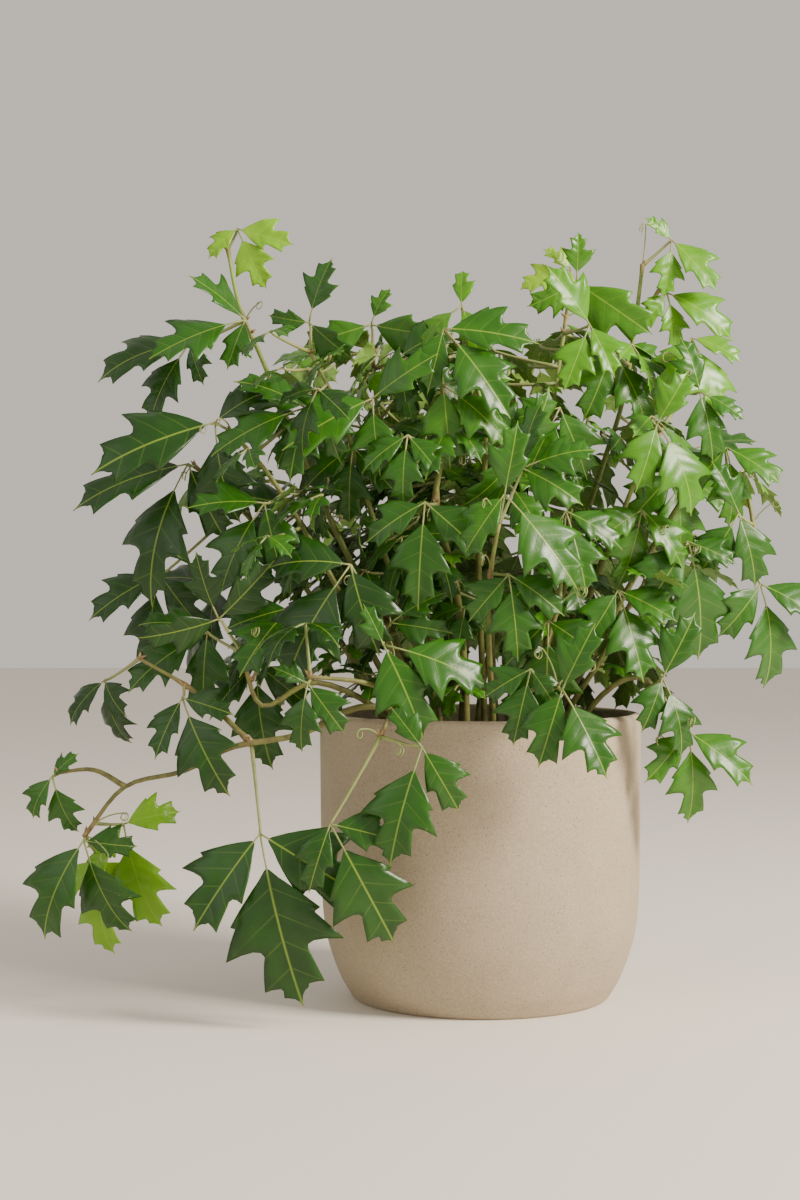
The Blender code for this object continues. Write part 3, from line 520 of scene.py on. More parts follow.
class Leaf:
    """Three leaflets on one stalk, which can be turned to stand clear of what is there."""

    def __init__(self, joint, headings, face, root, rng):
        tip_line = headings[0][0]
        face = at_right_angles(tip_line, face)
        across = tip_line.cross(face)
        laterals = sorted(headings[1:], key=lambda h: -h[0].dot(across))
        self.joint, self.face, self.root = joint, face, root
        self.headings = [headings[0]] + laterals
        self.arches = [rng.uniform(*ARCH) for _ in headings]
        self.folds = [rng.uniform(*FOLD) for _ in headings]
        self.pose(0.0, 0.0, Vector(), (0.0, 0.0, 0.0))

    def pose(self, turn, roll, shift, pitches):
        """Turns, rolls and shifts the leaf and pitches its leaflets."""
        tip_line = self.headings[0][0]
        spin = Matrix.Rotation(turn, 3, self.face) @ Matrix.Rotation(roll, 3, tip_line)
        self.hub = self.joint + shift
        self.hub_face = spin @ self.face
        self.hub_along = spin @ tip_line
        self.hub_side = self.hub_along.cross(self.hub_face)
        self.leaflets = []
        for i, (direction, length) in enumerate(self.headings):
            lean = spin @ direction
            lean = (lean + self.hub_face * pitches[i]).normalized()
            shape = (0, 1, -1)[i], self.arches[i], self.folds[i]
            self.leaflets.append(Leaflet(self.hub, lean, self.hub_face, length, *shape))

    def neck(self):
        """The place behind the hub where the stalk bends towards its root."""
        towards = (self.root - self.hub).normalized()
        return self.hub - self.hub_face * NECK_DEPTH + towards * NECK_REACH

    def corners(self, lift):
        """The hub's corners: + and - side nearer the tip, then - and + side nearer the stalk."""
        middle = self.hub + self.hub_face * lift
        side, along = self.hub_side * HUB_SIZE, self.hub_along * HUB_SIZE
        return [middle + side + along, middle - side + along, middle - side - along, middle + side - along]

    def shell(self, extra=0.0, stalk=True):
        """Points and faces of the whole leaf as one closed body, thickened by extra."""
        half = (BLADE_THICKNESS + extra) / 2
        points = self.corners(half) + self.corners(-half)
        faces = [(0, 1, 2), (0, 2, 3), (2, 6, 7), (2, 7, 3)]
        # The corners that each leaflet starts from, on its - and on its + side.
        for leaflet, (left, right) in zip(self.leaflets, ((1, 0), (0, 3), (2, 1))):
            ring = leaflet.outline()
            first = len(points)
            count = len(ring)
            points += [leaflet.point(a, b, half) for a, b in ring + [leaflet.heart()]]
            points += [leaflet.point(a, b, -half) for a, b in ring + [leaflet.heart()]]
            upper = [left, right] + list(range(first, first + count))
            lower = [left + 4, right + 4] + list(range(first + count + 1, first + 2 * count + 1))
            heart_up, heart_down = first + count, first + 2 * count + 1
            for i in range(len(upper)):
                j = (i + 1) % len(upper)
                faces += [(upper[i], upper[j], heart_up), (lower[j], lower[i], heart_down)]
                if i:
                    faces += [(upper[j], upper[i], lower[i]), (upper[j], lower[i], lower[j])]
        if stalk:
            self.add_stalk(points, faces, extra)
        else:
            faces += [(4, 6, 5), (4, 7, 6)]
        return points, faces

    def add_stalk(self, points, faces, extra):
        """Adds the stalk, from behind the hub to its root inside the stem."""
        neck = self.neck()
        side, along = self.hub_side, self.hub_along
        down = -self.hub_face
        ring = [4, 5, 6, 7]
        for place, size in ((neck, STALK_RADIUS), (self.root, STALK_RADIUS * STALK_FLARE)):
            heading = (place - self.hub if place is neck else self.root - neck).normalized()
            bend = down.rotation_difference(heading).to_matrix()
            side, along, down = bend @ side, bend @ along, heading
            size += extra / 2
            first = len(points)
            for a, b in ((1, 1), (-1, 1), (-1, -1), (1, -1)):
                points.append(place + (side * a + along * b) * size * 0.7)
            after = list(range(first, first + 4))
            for k, m in ((0, 1), (1, 2), (2, 3), (3, 0)):
                faces += [(ring[m], ring[k], after[k]), (ring[m], after[k], after[m])]
            ring = after
        faces += [(ring[0], ring[2], ring[1]), (ring[0], ring[3], ring[2])]

    def crosses_itself(self):
        """Whether parts of the leaf run through each other."""
        points, faces = self.shell()
        tree = BVHTree.FromPolygons(points, faces)
        return any(not set(faces[i]) & set(faces[j]) for i, j in tree.overlap(tree))


class Stem:
    """A stem with its side shoots and leaves: one node."""

    def __init__(self, name, radius, routes):
        self.name, self.radius, self.routes, self.leaves = name, radius, routes, []

    def solids(self):
        """Each route's tube, tapering to its tip."""
        found = []
        for i, route in enumerate(self.routes):
            thick = self.radius if i == 0 else self.radius * SHOOT_SHARE
            last = len(route) - 1
            radii = [thick * (1 - STEM_TAPER * k / last) for k in range(last + 1)]
            found.append(tube(route, radii, STEM_SIDES))
        return found

    def nearest(self, joint):
        """The place above the stem's foot that is nearest to the joint."""
        places = [p for route in self.routes for p in places_along(route)[ROUTE_SHARES:]]
        return min(places, key=lambda p: (p - joint).length)


class Space:
    """What is already placed, for testing whether a new solid stands clear."""

    def __init__(self):
        self.held = []

    def add(self, owner, solids):
        """Keeps these solids as taken by owner."""
        for points, faces in solids:
            low, high = bounds_of(points)
            self.held.append((owner, low, high, BVHTree.FromPolygons(points, faces)))

    def crossed(self, solids):
        """The owners of whatever these solids cross."""
        found = []
        for points, faces in solids:
            low, high = bounds_of(points)
            near = [h for h in self.held if boxes_meet(low, high, h[1], h[2])]
            if near:
                tree = BVHTree.FromPolygons(points, faces)
                found += [owner for owner, _, _, held in near if held.overlap(tree)]
        return found


def bounds_of(points):
    """Lowest and highest corner of a list of points."""
    return tuple([pick(p[i] for p in points) for i in range(3)] for pick in (min, max))


def boxes_meet(low_a, high_a, low_b, high_b):
    """Whether two boxes overlap."""
    return all(low_a[i] <= high_b[i] and low_b[i] <= high_a[i] for i in range(3))


def in_planter(point):
    """Whether a point is in or too near to the planter, the mix or the table."""
    if point.z < TABLE_CLEARANCE:
        return True
    across = math.hypot(point.x, point.y)
    inside = RIM_RADIUS - WALL - POT_CLEARANCE
    if point.z < SOIL_TOP + SOIL_CLEARANCE and across < inside:
        return True
    return point.z < POT_HEIGHT + POT_CLEARANCE and inside < across < RIM_RADIUS + POT_CLEARANCE


def front_direction(heading, lean):
    """A unit direction at a heading seen from the front, leaning towards the viewer."""
    angle = math.radians(heading)
    return Vector((math.cos(angle), -lean, math.sin(angle))).normalized()


def planted_route(points):
    """A stem's route: straight up out of its hole, then smooth through its points."""
    foot = Vector((points[0].x, points[0].y, SOIL_TOP - HOLE_DEPTH + TOUCH_GAP))
    collar = Vector((points[0].x, points[0].y, SOIL_TOP + COLLAR_RISE))
    return [foot] + spaced_route([collar] + points[1:])


def front_stem(row):
    """A stem of the front, without its leaves."""
    name, radius, points, shoots, _ = row
    routes = [planted_route([from_front(*p) for p in points])]
    for shoot in shoots:
        start, *rest = (from_front(*p) for p in shoot)
        start = min(places_along(routes[0]), key=lambda p: (p - start).length)
        routes.append(spaced_route([start] + rest))
    return Stem(name, radius, routes)


def spread_headings(leaflets):
    """The leaflets, with the two side ones kept on either side of the end one and apart from it."""
    (tip, length), *sides = leaflets
    turns = sorted(((heading - tip + 180) % 360 - 180, size) for heading, size in sides)
    low, high = turns
    if high[0] < 0:
        low, high = high, (low[0] + 360, low[1])
    elif low[0] > 0:
        low, high = (high[0] - 360, high[1]), low
    low_turn = max(-WIDEST_SPREAD, min(-LEAST_SPREAD, low[0]))
    high_turn = min(WIDEST_SPREAD, max(LEAST_SPREAD, high[0]))
    return (tip, length), (tip + low_turn, low[1]), (tip + high_turn, high[1])


def front_leaf(stem, rng, x, z, depth, *numbers):
    """A leaf placed as it is seen from the front."""
    scale = 1.0 + depth / VIEW_DISTANCE
    joint = from_front(x, z, depth)
    headings = []
    for heading, length in spread_headings(list(zip(numbers[::2], numbers[1::2]))):
        direction = front_direction(heading, rng.uniform(*FRONT_LEAN))
        headings.append((direction, length * scale * ARCH_MAKE_UP))
    face = Vector((joint.x * FACE_SPREAD, -1.0, FACE_LIFT))
    return Leaf(joint, headings, face, stem.nearest(joint), rng)


def outwards(azimuth):
    """The level direction at an azimuth in degrees, and the one across it."""
    angle = math.radians(azimuth)
    out = Vector((math.cos(angle), math.sin(angle), 0))
    return out, Vector((-out.y, out.x, 0))


def rule_stem(number, azimuth, reach, top, rng):
    """A stem at the side or the back, which leans outwards and bows over."""
    out, across = outwards(azimuth)
    foot = out * rng.uniform(*RULE_FOOT) + Vector((0, RULE_FOOT_BACK, 0))
    points = [foot]
    for share_out, share_up in RULE_BOW:
        sway = across * rng.uniform(-RULE_SWAY, RULE_SWAY)
        height = SOIL_TOP + (top - SOIL_TOP) * share_up
        points.append(foot + out * (reach - foot.length) * share_out + sway + Vector((0, 0, height)))
    return Stem(f"stem_back_{number:02d}", RULE_RADIUS, [planted_route(points)])


def with_sides(tip_line, length, face, splay, share, back, rng):
    """A leaf's headings: the end leaflet's and those of the two beside it, bent back."""
    headings = [(tip_line, length)]
    for side in (-1, 1):
        turn = Matrix.Rotation(math.radians(side * rng.uniform(*splay)), 3, face)
        headings.append((turn @ tip_line - face * back, length * rng.uniform(*share)))
    return headings


def rule_leaf(stem, rng, number, azimuth):
    """A leaf on a stem at the side or the back, on alternate sides of it."""
    route = stem.routes[0]
    span = (RULE_FIRST + RULE_SPAN * number / (RULE_LEAVES - 1)) * (len(route) - 1)
    place = route[int(span)].lerp(route[int(span) + 1], span % 1)
    out, across = outwards(azimuth + rng.uniform(-RULE_TURN, RULE_TURN))
    across *= 1 if number % 2 else -1
    last = number == RULE_LEAVES - 1
    sideways = 0.2 if last else rng.uniform(0.5, 1.0)
    way = (out + across * sideways + Vector((0, 0, rng.uniform(0.1, 0.5)))).normalized()
    joint = place + way * rng.uniform(*RULE_STALK)
    tip_line = (way + Vector((0, 0, -rng.uniform(*RULE_DROOP)))).normalized()
    face = at_right_angles(tip_line, out * 0.8 + Vector((0, 0, 0.7)))
    length = RULE_LEAF_LENGTH * rng.uniform(*RULE_SIZES) * (RULE_TIP_SIZE if last else 1.0)
    headings = with_sides(tip_line, length, face, RULE_SPLAY, RULE_SIDE_SHARE, 0.15, rng)
    return Leaf(joint, [(d.normalized(), size) for d, size in headings], face, place, rng)


def settle(leaf, stem, space, rng):
    """Moves the leaf clear of other stems and best of its own. Says if it found a place."""
    best = None
    for attempt in range(ATTEMPTS):
        reach = attempt / ATTEMPTS
        pose = (
            rng.uniform(-1, 1) * MOST_TURN * reach,
            rng.uniform(-1, 1) * MOST_ROLL * reach,
            Vector([rng.uniform(-1, 1) for _ in range(3)]) * MOST_SHIFT * reach,
            [rng.uniform(-1, 1) * MOST_PITCH * reach for _ in range(3)],
        )
        leaf.pose(*pose)
        if any(in_planter(p) for p in leaf.shell(stalk=False)[0]):
            continue
        if any(name != stem.name for name in space.crossed([leaf.shell(CLEARANCE)])):
            continue
        own = len(space.crossed([leaf.shell(stalk=False)])) + leaf.crosses_itself()
        if best is None or own < best[0]:
            best = (own, pose)
        if own == 0:
            break
    if best is None:
        return False
    leaf.pose(*best[1])
    return True


def grow():
    """Every stem with its leaves, each clear of the others."""
    rng = random.Random(SEED)
    space = Space()
    stems = [(front_stem(row), front_leaf, row[4]) for row in FRONT_STEMS]
    for number, (azimuth, reach, top) in enumerate(RULE_STEMS):
        stem = rule_stem(number + 1, azimuth, reach, top, rng)
        stems.append((stem, rule_leaf, [(k, azimuth) for k in range(RULE_LEAVES)]))
    for stem, _, _ in stems:
        space.add(stem.name, stem.solids())
    for stem, make, specs in stems:
        for spec in specs:
            leaf = make(stem, rng, *spec)
            if settle(leaf, stem, space, rng):
                space.add(stem.name, [leaf.shell()])
                stem.leaves.append(leaf)
    return [stem for stem, _, _ in stems], space


def turned(profile, sides):
    """Points and faces of a solid of revolution. The profile starts and ends on the axis."""
    points = [Vector((0, 0, profile[0][1]))]
    for radius, z in profile[1:-1]:
        for k in range(sides):
            angle = 2 * math.pi * k / sides
            points.append(Vector((radius * math.cos(angle), radius * math.sin(angle), z)))
    points.append(Vector((0, 0, profile[-1][1])))
    faces = [(0, 1 + (k + 1) % sides, 1 + k) for k in range(sides)]
    faces += bands(len(profile) - 2, sides, 1)
    last = 1 + (len(profile) - 3) * sides
    faces += [(last + k, last + (k + 1) % sides, len(points) - 1) for k in range(sides)]
    return points, faces


def width_at(edge, share):
    """Half width of a blade at a share of its length, from its list of places."""
    for (a, wide_a), (b, wide_b) in zip(edge, edge[1:]):
        if share <= b:
            return wide_a + (wide_b - wide_a) * (share - a) / (b - a)
    return edge[-1][1]


def in_scene(name, data):
    """A new object of this data, in the scene."""
    made = bpy.data.objects.new(name, data)
    bpy.context.scene.collection.objects.link(made)
    return made


def mesh_of(name, points, faces):
    """A mesh of points in millimetres."""
    mesh = bpy.data.meshes.new(name)
    mesh.from_pydata([p * MM for p in points], [], faces)
    mesh.update()
    mesh.shade_smooth()
    return mesh


class MeshPile:
    """Points, faces and their looks, gathered for one mesh."""

    def __init__(self):
        self.points, self.faces, self.tones, self.places, self.paints = [], [], [], [], []

    def add(self, points, faces, tone, places, paint):
        """Adds a body, with one tone or a list for its points and one paint or a list for its faces."""
        first = len(self.points)
        self.points += points
        self.tones += tone if isinstance(tone, list) else [tone] * len(points)
        self.places += places
        self.faces += [tuple(first + i for i in face) for face in faces]
        self.paints += paint if isinstance(paint, list) else [paint] * len(faces)

    def make(self, name, materials):
        """The finished object, with a tone for each point and a UV map of the blades."""
        mesh = mesh_of(name, self.points, self.faces)
        tone = mesh.attributes.new("tone", "FLOAT", "POINT")
        tone.data.foreach_set("value", self.tones)
        uv = mesh.uv_layers.new(name="blade")
        corners = [0] * len(mesh.loops)
        mesh.loops.foreach_get("vertex_index", corners)
        uv.data.foreach_set("uv", [x for i in corners for x in self.places[i]])
        for paint in materials:
            mesh.materials.append(paint)
        mesh.polygons.foreach_set("material_index", self.paints)
        return in_scene(name, mesh)


def outline_of(corners):
    """A half outline as (share, half width): full towards each lobe's tip, hollow behind it."""
    places = [corners[0]]
    for (a, wide_a), (b, wide_b) in zip(corners, corners[1:]):
        count = max(2, round((b - a) / OUTLINE_STEP))
        for k in range(1, count + 1):
            t = k / count
            bend = t**LOBE_FULLNESS if wide_b > wide_a else 1 - (1 - t) ** LOBE_HOLLOW
            places.append((a + (b - a) * t, wide_a + (wide_b - wide_a) * bend))
    return places


def edges_of(leaflet):
    """The fine outlines on the + and - side of a leaflet."""
    if leaflet.kind == 0:
        return TERMINAL_RIGHT, TERMINAL_LEFT
    return (OUTER_EDGE, INNER_EDGE) if leaflet.kind > 0 else (INNER_EDGE, OUTER_EDGE)


def puff(share):
    """How far a place lies from the side ribs, from 0 on one to 1 halfway between two."""
    for a, b in zip(RIBS, RIBS[1:]):
        if share <= b:
            return math.sin(math.pi * (share - a) / (b - a))
    return 0.0


def add_blade(pile, leaflet, tone):
    """A fine blade: thin, lobed, softly quilted between its side ribs and waved at its edges.

    Its rows sweep forwards from the midrib, as the side ribs do.
    """
    right, left = (outline_of(edge) for edge in edges_of(leaflet))
    start, blade, length = leaflet.stalklet, 1 - leaflet.stalklet, leaflet.length
    corners = sorted({a for edge in edges_of(leaflet) for a, _ in edge} | {NEAR_TIP})
    grid = [k / BLADE_ROWS for k in range(BLADE_ROWS)]
    shares = sorted(corners + [g for g in grid if min(abs(a - g) for a in corners) > LEAST_ROW_GAP])
    half = LEAF_THICKNESS / 2
    phase = leaflet.root.x * PHASE_ACROSS + leaflet.root.z * PHASE_UP
    curl = CURL * (0.5 + 0.5 * math.sin(phase * CURL_RATE))
    broad = 1 + BREADTH_CHANGE * math.sin(phase * BREADTH_RATE)
    points, places, faces = [], [], []
    for side in (1, -1):
        for share in shares:
            for column in BLADE_COLUMNS:
                edge, sweep, lag = (right, SWEEP_RIGHT, WAVE_LAG) if column > 0 else (left, SWEEP_LEFT, 0.0)
                wide = width_at(edge, share) * blade * broad
                rib = abs(column) * wide
                outer = rib / BROAD_HALF
                along = min(1.0, share + sweep * rib)
                quilt = QUILT * puff(share) * min(1.0, rib * QUILT_RISE)
                wave = WAVE * math.sin(share * WAVE_RATE + phase + lag) * outer**2
                crease = CREASE * length * outer**0.8
                droop = curl * length * (along**3 + 0.8 * outer**2.2 * (1.1 - along))
                lift = half * side + (quilt + wave + crease - droop) * min(1.0, share * FOOT_RISE)
                points.append(leaflet.point(start + blade * along, column * wide * length, lift))
                places.append((0.5 + column * wide / blade, share))
    rows, columns = len(shares), len(BLADE_COLUMNS)
    size = rows * columns
    for r in range(rows - 1):
        for c in range(columns - 1):
            a, b = r * columns + c, r * columns + c + 1
            quad = (a, b, b + columns, a + columns)
            faces += [quad, tuple(size + quad[i] for i in (1, 0, 3, 2))]
    rim = list(range(columns))
    rim += [r * columns + columns - 1 for r in range(1, rows)]
    rim += [(rows - 1) * columns + c for c in reversed(range(columns - 1))]
    rim += [r * columns for r in reversed(range(1, rows - 1))]
    faces += [(b, a, size + a, size + b) for a, b in zip(rim, rim[1:] + rim[:1])]
    paints = [UPPER, UNDER] * ((rows - 1) * (columns - 1)) + [UPPER] * len(rim)
    pile.add(points, faces, tone, places, paints)


def add_tube(pile, route, radii, sides, tone, paint):
    """A closed round tube, with one tone or one for each place of its route."""
    points, faces = tube(route, radii, sides)
    if isinstance(tone, list):
        tone = [tone[i // sides] for i in range(len(points))]
    pile.add(points, faces, tone, [(0.5, i / len(points)) for i in range(len(points))], paint)


def bezier(a, b, c, steps):
    """A quadratic curve from a to c, bent towards b."""
    return [a.lerp(b, k / steps).lerp(b.lerp(c, k / steps), k / steps) for k in range(steps + 1)]


def part_way(value, low, span):
    """How far a value is past low, as a share of the span, from 0 to 1."""
    return min(1.0, max(0.0, (value - low) / span))


def leaf_tone(leaf, rng):
    """How young a leaf looks, from 0, old and deep green, to 1, yellow-green, with painted light added to
    the right and painted shade to the left.
    """
    x, depth, z = leaf.hub
    # Painted light and shade: lighter towards the right, where the lamp falls, and darker towards the left.
    tone = OLD_TONE + RIGHT_PAINTED_LIGHT * part_way(x, -60, 200) + HIGH_TONE * part_way(z, 330, 110)
    tone -= LEFT_PAINTED_SHADE * part_way(-x, 60, 100)
    largest = max(leaflet.length for leaflet in leaf.leaflets)
    if largest < SMALL_LEAF:
        tone += SMALL_TONE
    for young_x, young_z, reach, least, longest in YOUNG_PLACES:
        if math.hypot(x - young_x, z - young_z) < reach and depth > YOUNG_DEPTH and largest < longest:
            return min(1.0, least + rng.uniform(-0.05, 0.05))
    return min(MOST_TONE, max(0.0, tone + rng.uniform(-TONE_CHANGE, TONE_CHANGE)))


def add_leaf(pile, leaf, tone):
    """A fine leaf: three blades, their short stalklets and the stalk."""
    for leaflet in leaf.leaflets:
        add_blade(pile, leaflet, tone)
        route = [leaflet.point(leaflet.stalklet * share, 0.0) for share in (0.0, 0.5, 1.0)]
        route.append(leaflet.point(leaflet.stalklet + 0.12, 0.0, -0.25))
        add_tube(pile, route, STALKLET_RADII, 6, tone, STALK)
    neck = leaf.neck()
    sag = Vector((0, 0, STALK_SAG * (leaf.root - neck).length))
    route = [leaf.hub] + bezier(neck, neck.lerp(leaf.root, 0.5) - sag, leaf.root, 6)
    last = len(route) - 1
    radii = [STALK_RADIUS * (0.85 + 0.6 * (k / last) ** 3) for k in range(last + 1)]
    add_tube(pile, route, radii, 7, tone, STALK)


def add_stem(pile, stem, rng):
    """A fine stem: a tapering tube that swells at each leaf, with bud scales there."""
    for i, route in enumerate(stem.routes):
        thick = stem.radius if i == 0 else stem.radius * SHOOT_SHARE
        last = (len(route) - 1) * FINE_STEPS
        fine = smooth_route(route, FINE_STEPS)
        radii, ages = [], []
        for k, place in enumerate(fine):
            near = min([(place - leaf.root).length for leaf in stem.leaves] + [99])
            swell = math.exp(-((near / NODE_REACH) ** 2))
            radii.append(thick * (1 - STEM_TAPER * k / last) * (1 + NODE_SWELL * swell))
            ages.append(max(swell, WOOD_SHARE * math.exp(-((near / WOOD_REACH) ** 2))))
        add_tube(pile, fine, radii, 9, ages, BARK)
    for leaf in stem.leaves:
        for _ in range(2):
            way = Vector([rng.uniform(-1, 1), rng.uniform(-1, 1), rng.uniform(0.2, 1.2)]).normalized()
            tip = leaf.root + way * rng.uniform(*BUD_LENGTH)
            add_tube(pile, [leaf.root, leaf.root.lerp(tip, 0.5), tip], BUD_RADII, 5, 0.9, BARK)


def tendril(start, way, rng):
    """A thin shoot that reaches out and ends in a small coil."""
    side = at_right_angles(way, Vector((0.2, 0.1, 1.0)))
    other = way.cross(side)
    reach, turns, coil = (rng.uniform(*span) for span in (TENDRIL_REACH, COIL_TURNS, COIL_RADIUS))
    route = bezier(start, start + way * reach * 0.5 + side * 3, start + way * reach, 6)
    middle = route[-1] - side * coil
    for k in range(1, int(turns * COIL_STEPS)):
        angle = 2 * math.pi * k / COIL_STEPS
        shrink = coil * (1 - 0.4 * k / (turns * COIL_STEPS))
        turn = side * math.cos(angle) + way * math.sin(angle)
        route.append(middle + turn * shrink + other * k * COIL_PITCH)
    return route


def extra_leaves(stems, space, box, rng):
    """Small leaves that fill the crown between the main ones, each clear of what is there."""
    low, high = (Vector([x / MM for x in corner]) for corner in box)
    found = []
    for _ in range(EXTRA_LEAVES):
        left = rng.random() < EXTRA_LEFT_SHARE
        out, _ = outwards(rng.uniform(*EXTRA_LEFT) if left else rng.uniform(0, 360))
        reach = rng.uniform(EXTRA_LEAST_OUT, EXTRA_LEFT_OUT if left else EXTRA_OUT)
        joint = out * reach + Vector((0, 0, rng.uniform(*EXTRA_HEIGHT)))
        stem = min(stems, key=lambda s: (s.nearest(joint) - joint).length)
        root = stem.nearest(joint)
        if (root - joint).length > EXTRA_REACH:
            joint = root + (joint - root).normalized() * EXTRA_REACH
        sway = Vector((rng.uniform(-0.5, 0.5), rng.uniform(-0.5, 0.5), rng.uniform(-1.0, 0.1)))
        tip_line = (out * 0.8 + sway).normalized()
        face = at_right_angles(tip_line, out * 0.7 + Vector((0, 0, 0.8)))
        length = rng.uniform(*EXTRA_LENGTH)
        headings = with_sides(tip_line, length, face, EXTRA_SPLAY, EXTRA_SIDE_SHARE, 0.0, rng)
        leaf = Leaf(joint, headings, face, root, rng)
        in_front = joint.y < EXTRA_FRONT and joint.x > EXTRA_FRONT_LEFT
        if in_front or not settle(leaf, stem, space, rng):
            continue
        solid = leaf.shell()
        if all(low[i] < p[i] < high[i] for p in solid[0] for i in range(3)):
            space.add(stem.name, [solid])
            found.append((stem, leaf))
    return found


class Nodes:
    """A node tree with short ways to add nodes. An input is a value or another node's output."""

    def __init__(self, tree):
        self.tree = tree

    def feed(self, node, inputs):
        """Sets or links a node's inputs, given by name or by number."""
        for key, value in inputs.items():
            if isinstance(value, bpy.types.NodeSocket):
                self.tree.links.new(value, node.inputs[key])
            else:
                node.inputs[key].default_value = value

    def add(self, kind, inputs, output=0, **settings):
        """Adds a node and gives one of its outputs."""
        node = self.tree.nodes.new(kind)
        for key, value in settings.items():
            setattr(node, key, value)
        self.feed(node, inputs)
        return node.outputs[output]


class Paint(Nodes):
    """A material, made of textures in the object's own coordinates."""

    def __init__(self, name):
        self.material = bpy.data.materials.new(name)
        self.material.use_nodes = True
        super().__init__(self.material.node_tree)
        self.shader = self.tree.nodes["Principled BSDF"]
        self.where = self.add("ShaderNodeTexCoord", {}, "Object")

    def grain(self, scale, detail, roughness=0.5):
        """Noise of this scale."""
        inputs = {"Vector": self.where, "Scale": scale, "Detail": detail, "Roughness": roughness}
        return self.add("ShaderNodeTexNoise", inputs, "Fac")

    def calc(self, operation, *values):
        """What a Math node makes of these values."""
        return self.add("ShaderNodeMath", dict(enumerate(values)), operation=operation)

    def ranged(self, value, start, end, low, high, kind="SMOOTHSTEP"):
        """The value's way from start to end, as a way from low to high."""
        inputs = {"Value": value, "From Min": start, "From Max": end, "To Min": low, "To Max": high}
        return self.add("ShaderNodeMapRange", inputs, "Result", interpolation_type=kind)

    def split(self, vector, axis):
        """One coordinate of a vector."""
        return self.add("ShaderNodeSeparateXYZ", {0: vector}, axis)

    def mix(self, share, a, b):
        """Colour a where the share is 0, and b where it is 1."""
        return self.add("ShaderNodeMix", {"Factor": share, "A": a, "B": b}, "Result", data_type="RGBA")

    def ramp(self, value, stops):
        """A colour for each value, from (value, colour) stops."""
        colour = self.add("ShaderNodeValToRGB", {"Fac": value}, "Color")
        elements = colour.node.color_ramp.elements
        while len(elements) < len(stops):
            elements.new(0.5)
        for element, (place, shade) in zip(elements, stops):
            element.position = place
            element.color = (*shade, 1.0)
        return colour

    def finish(self, colour, roughness, height, strength, depth):
        """Gives the shader its colour, roughness and relief. Gives back the material."""
        relief = {"Height": height, "Strength": strength, "Distance": depth}
        normal = self.add("ShaderNodeBump", relief, "Normal")
        self.feed(self.shader, {"Base Color": colour, "Roughness": roughness, "Normal": normal})
        return self.material


def leaf_material(name, stops, roughness, vein_colour, vein_share, rib_share, vein_relief):
    """Leaf skin: green by the leaf's age and by its painted light and shade, mottled, with pale ribs and a
    satin gloss.
    """
    paint = Paint(name)
    calc, ranged = paint.calc, paint.ranged
    mottle, fine = paint.grain(55.0, 4.0, 0.6), paint.grain(700.0, 3.0, 0.6)
    tone = paint.add("ShaderNodeAttribute", {}, "Fac", attribute_name="tone")
    green = paint.ramp(calc("MULTIPLY_ADD", mottle, MOTTLE, calc("SUBTRACT", tone, MOTTLE / 2)), stops)

    # The blade's own map: across it in x with the midrib at 0.5, along it in y.
    place = paint.add("ShaderNodeUVMap", {}, "UV", uv_map="blade")
    away = calc("ABSOLUTE", calc("SUBTRACT", paint.split(place, "X"), 0.5))
    # A side rib lies on each row that ends in a lobe's tip, and fades towards it.
    share = paint.split(place, "Y")
    nearest, *others = (calc("ABSOLUTE", calc("SUBTRACT", share, rib)) for rib in PALE_RIBS)
    for other in others:
        nearest = calc("MINIMUM", nearest, other)
    ribs = ranged(nearest, *RIB_EDGE, 1.0, 0.0)
    fade = ranged(away, 0.0, 0.3, rib_share, rib_share * 0.25, "LINEAR")
    veins = calc("MAXIMUM", ranged(away, *MIDRIB_EDGE, 1.0, 0.0), calc("MULTIPLY", ribs, fade))

    colour = paint.mix(calc("MULTIPLY", veins, vein_share), green, (*vein_colour, 1.0))
    rough = ranged(mottle, 0.0, 1.0, roughness - 0.06, roughness + 0.12, "LINEAR")
    paint.feed(paint.shader, {"Specular IOR Level": LEAF_GLOSS})
    return paint.finish(colour, rough, calc("MULTIPLY_ADD", veins, vein_relief, fine), 0.25, 0.0003)


def speckled_material(name, stops, scale, roughness, grit, patch=0.35, pits=0.0):
    """A grainy surface: speckles of several colours. Grit is the relief's scale, strength and depth."""
    paint = Paint(name)
    grains, patches = paint.grain(scale, 6.0, 0.7), paint.grain(scale / 22, 3.0)
    height = paint.grain(grit[0], 5.0, 0.65)
    speckles = paint.calc("MULTIPLY", grains, 0.72)
    colour = paint.ramp(paint.calc("MULTIPLY_ADD", patches, patch, speckles), stops)
    if pits:
        # Scattered pin holes, sunk, with painted shade in them.
        holes = paint.add("ShaderNodeTexVoronoi", {"Vector": paint.where, "Scale": pits}, "Distance")
        solid = paint.ranged(holes, *PIT_EDGE, 0.0, 1.0)
        colour = paint.mix(solid, PIT_SHADE_COLOUR, colour)
        height = paint.calc("MULTIPLY_ADD", solid, PIT_RELIEF, height)
    return paint.finish(colour, roughness, height, grit[1], grit[2])


def bark_material():
    """Stem skin: green-brown with fine streaks, tan and woody at the nodes, greener near the tips."""
    paint = Paint("stem_bark")
    streaks = paint.grain(220.0, 4.0)
    height = paint.ranged(paint.split(paint.where, "Z"), *BARK_HEIGHTS, 0.0, 0.5, "LINEAR")
    skin = paint.ramp(paint.calc("MULTIPLY_ADD", streaks, 0.7, height), BARK_GREENS)
    age = paint.add("ShaderNodeAttribute", {}, "Fac", attribute_name="tone")
    return paint.finish(paint.mix(age, skin, paint.ramp(streaks, BARK_BROWNS)), 0.55, streaks, 0.5, 0.0005)


def plain_mesh(name, solid, paint, smooth=30):
    """An object of a solid's points and faces."""
    mesh = mesh_of(name, *solid)
    mesh.materials.append(paint)
    mesh.set_sharp_from_angle(angle=math.radians(smooth))
    return in_scene(name, mesh)


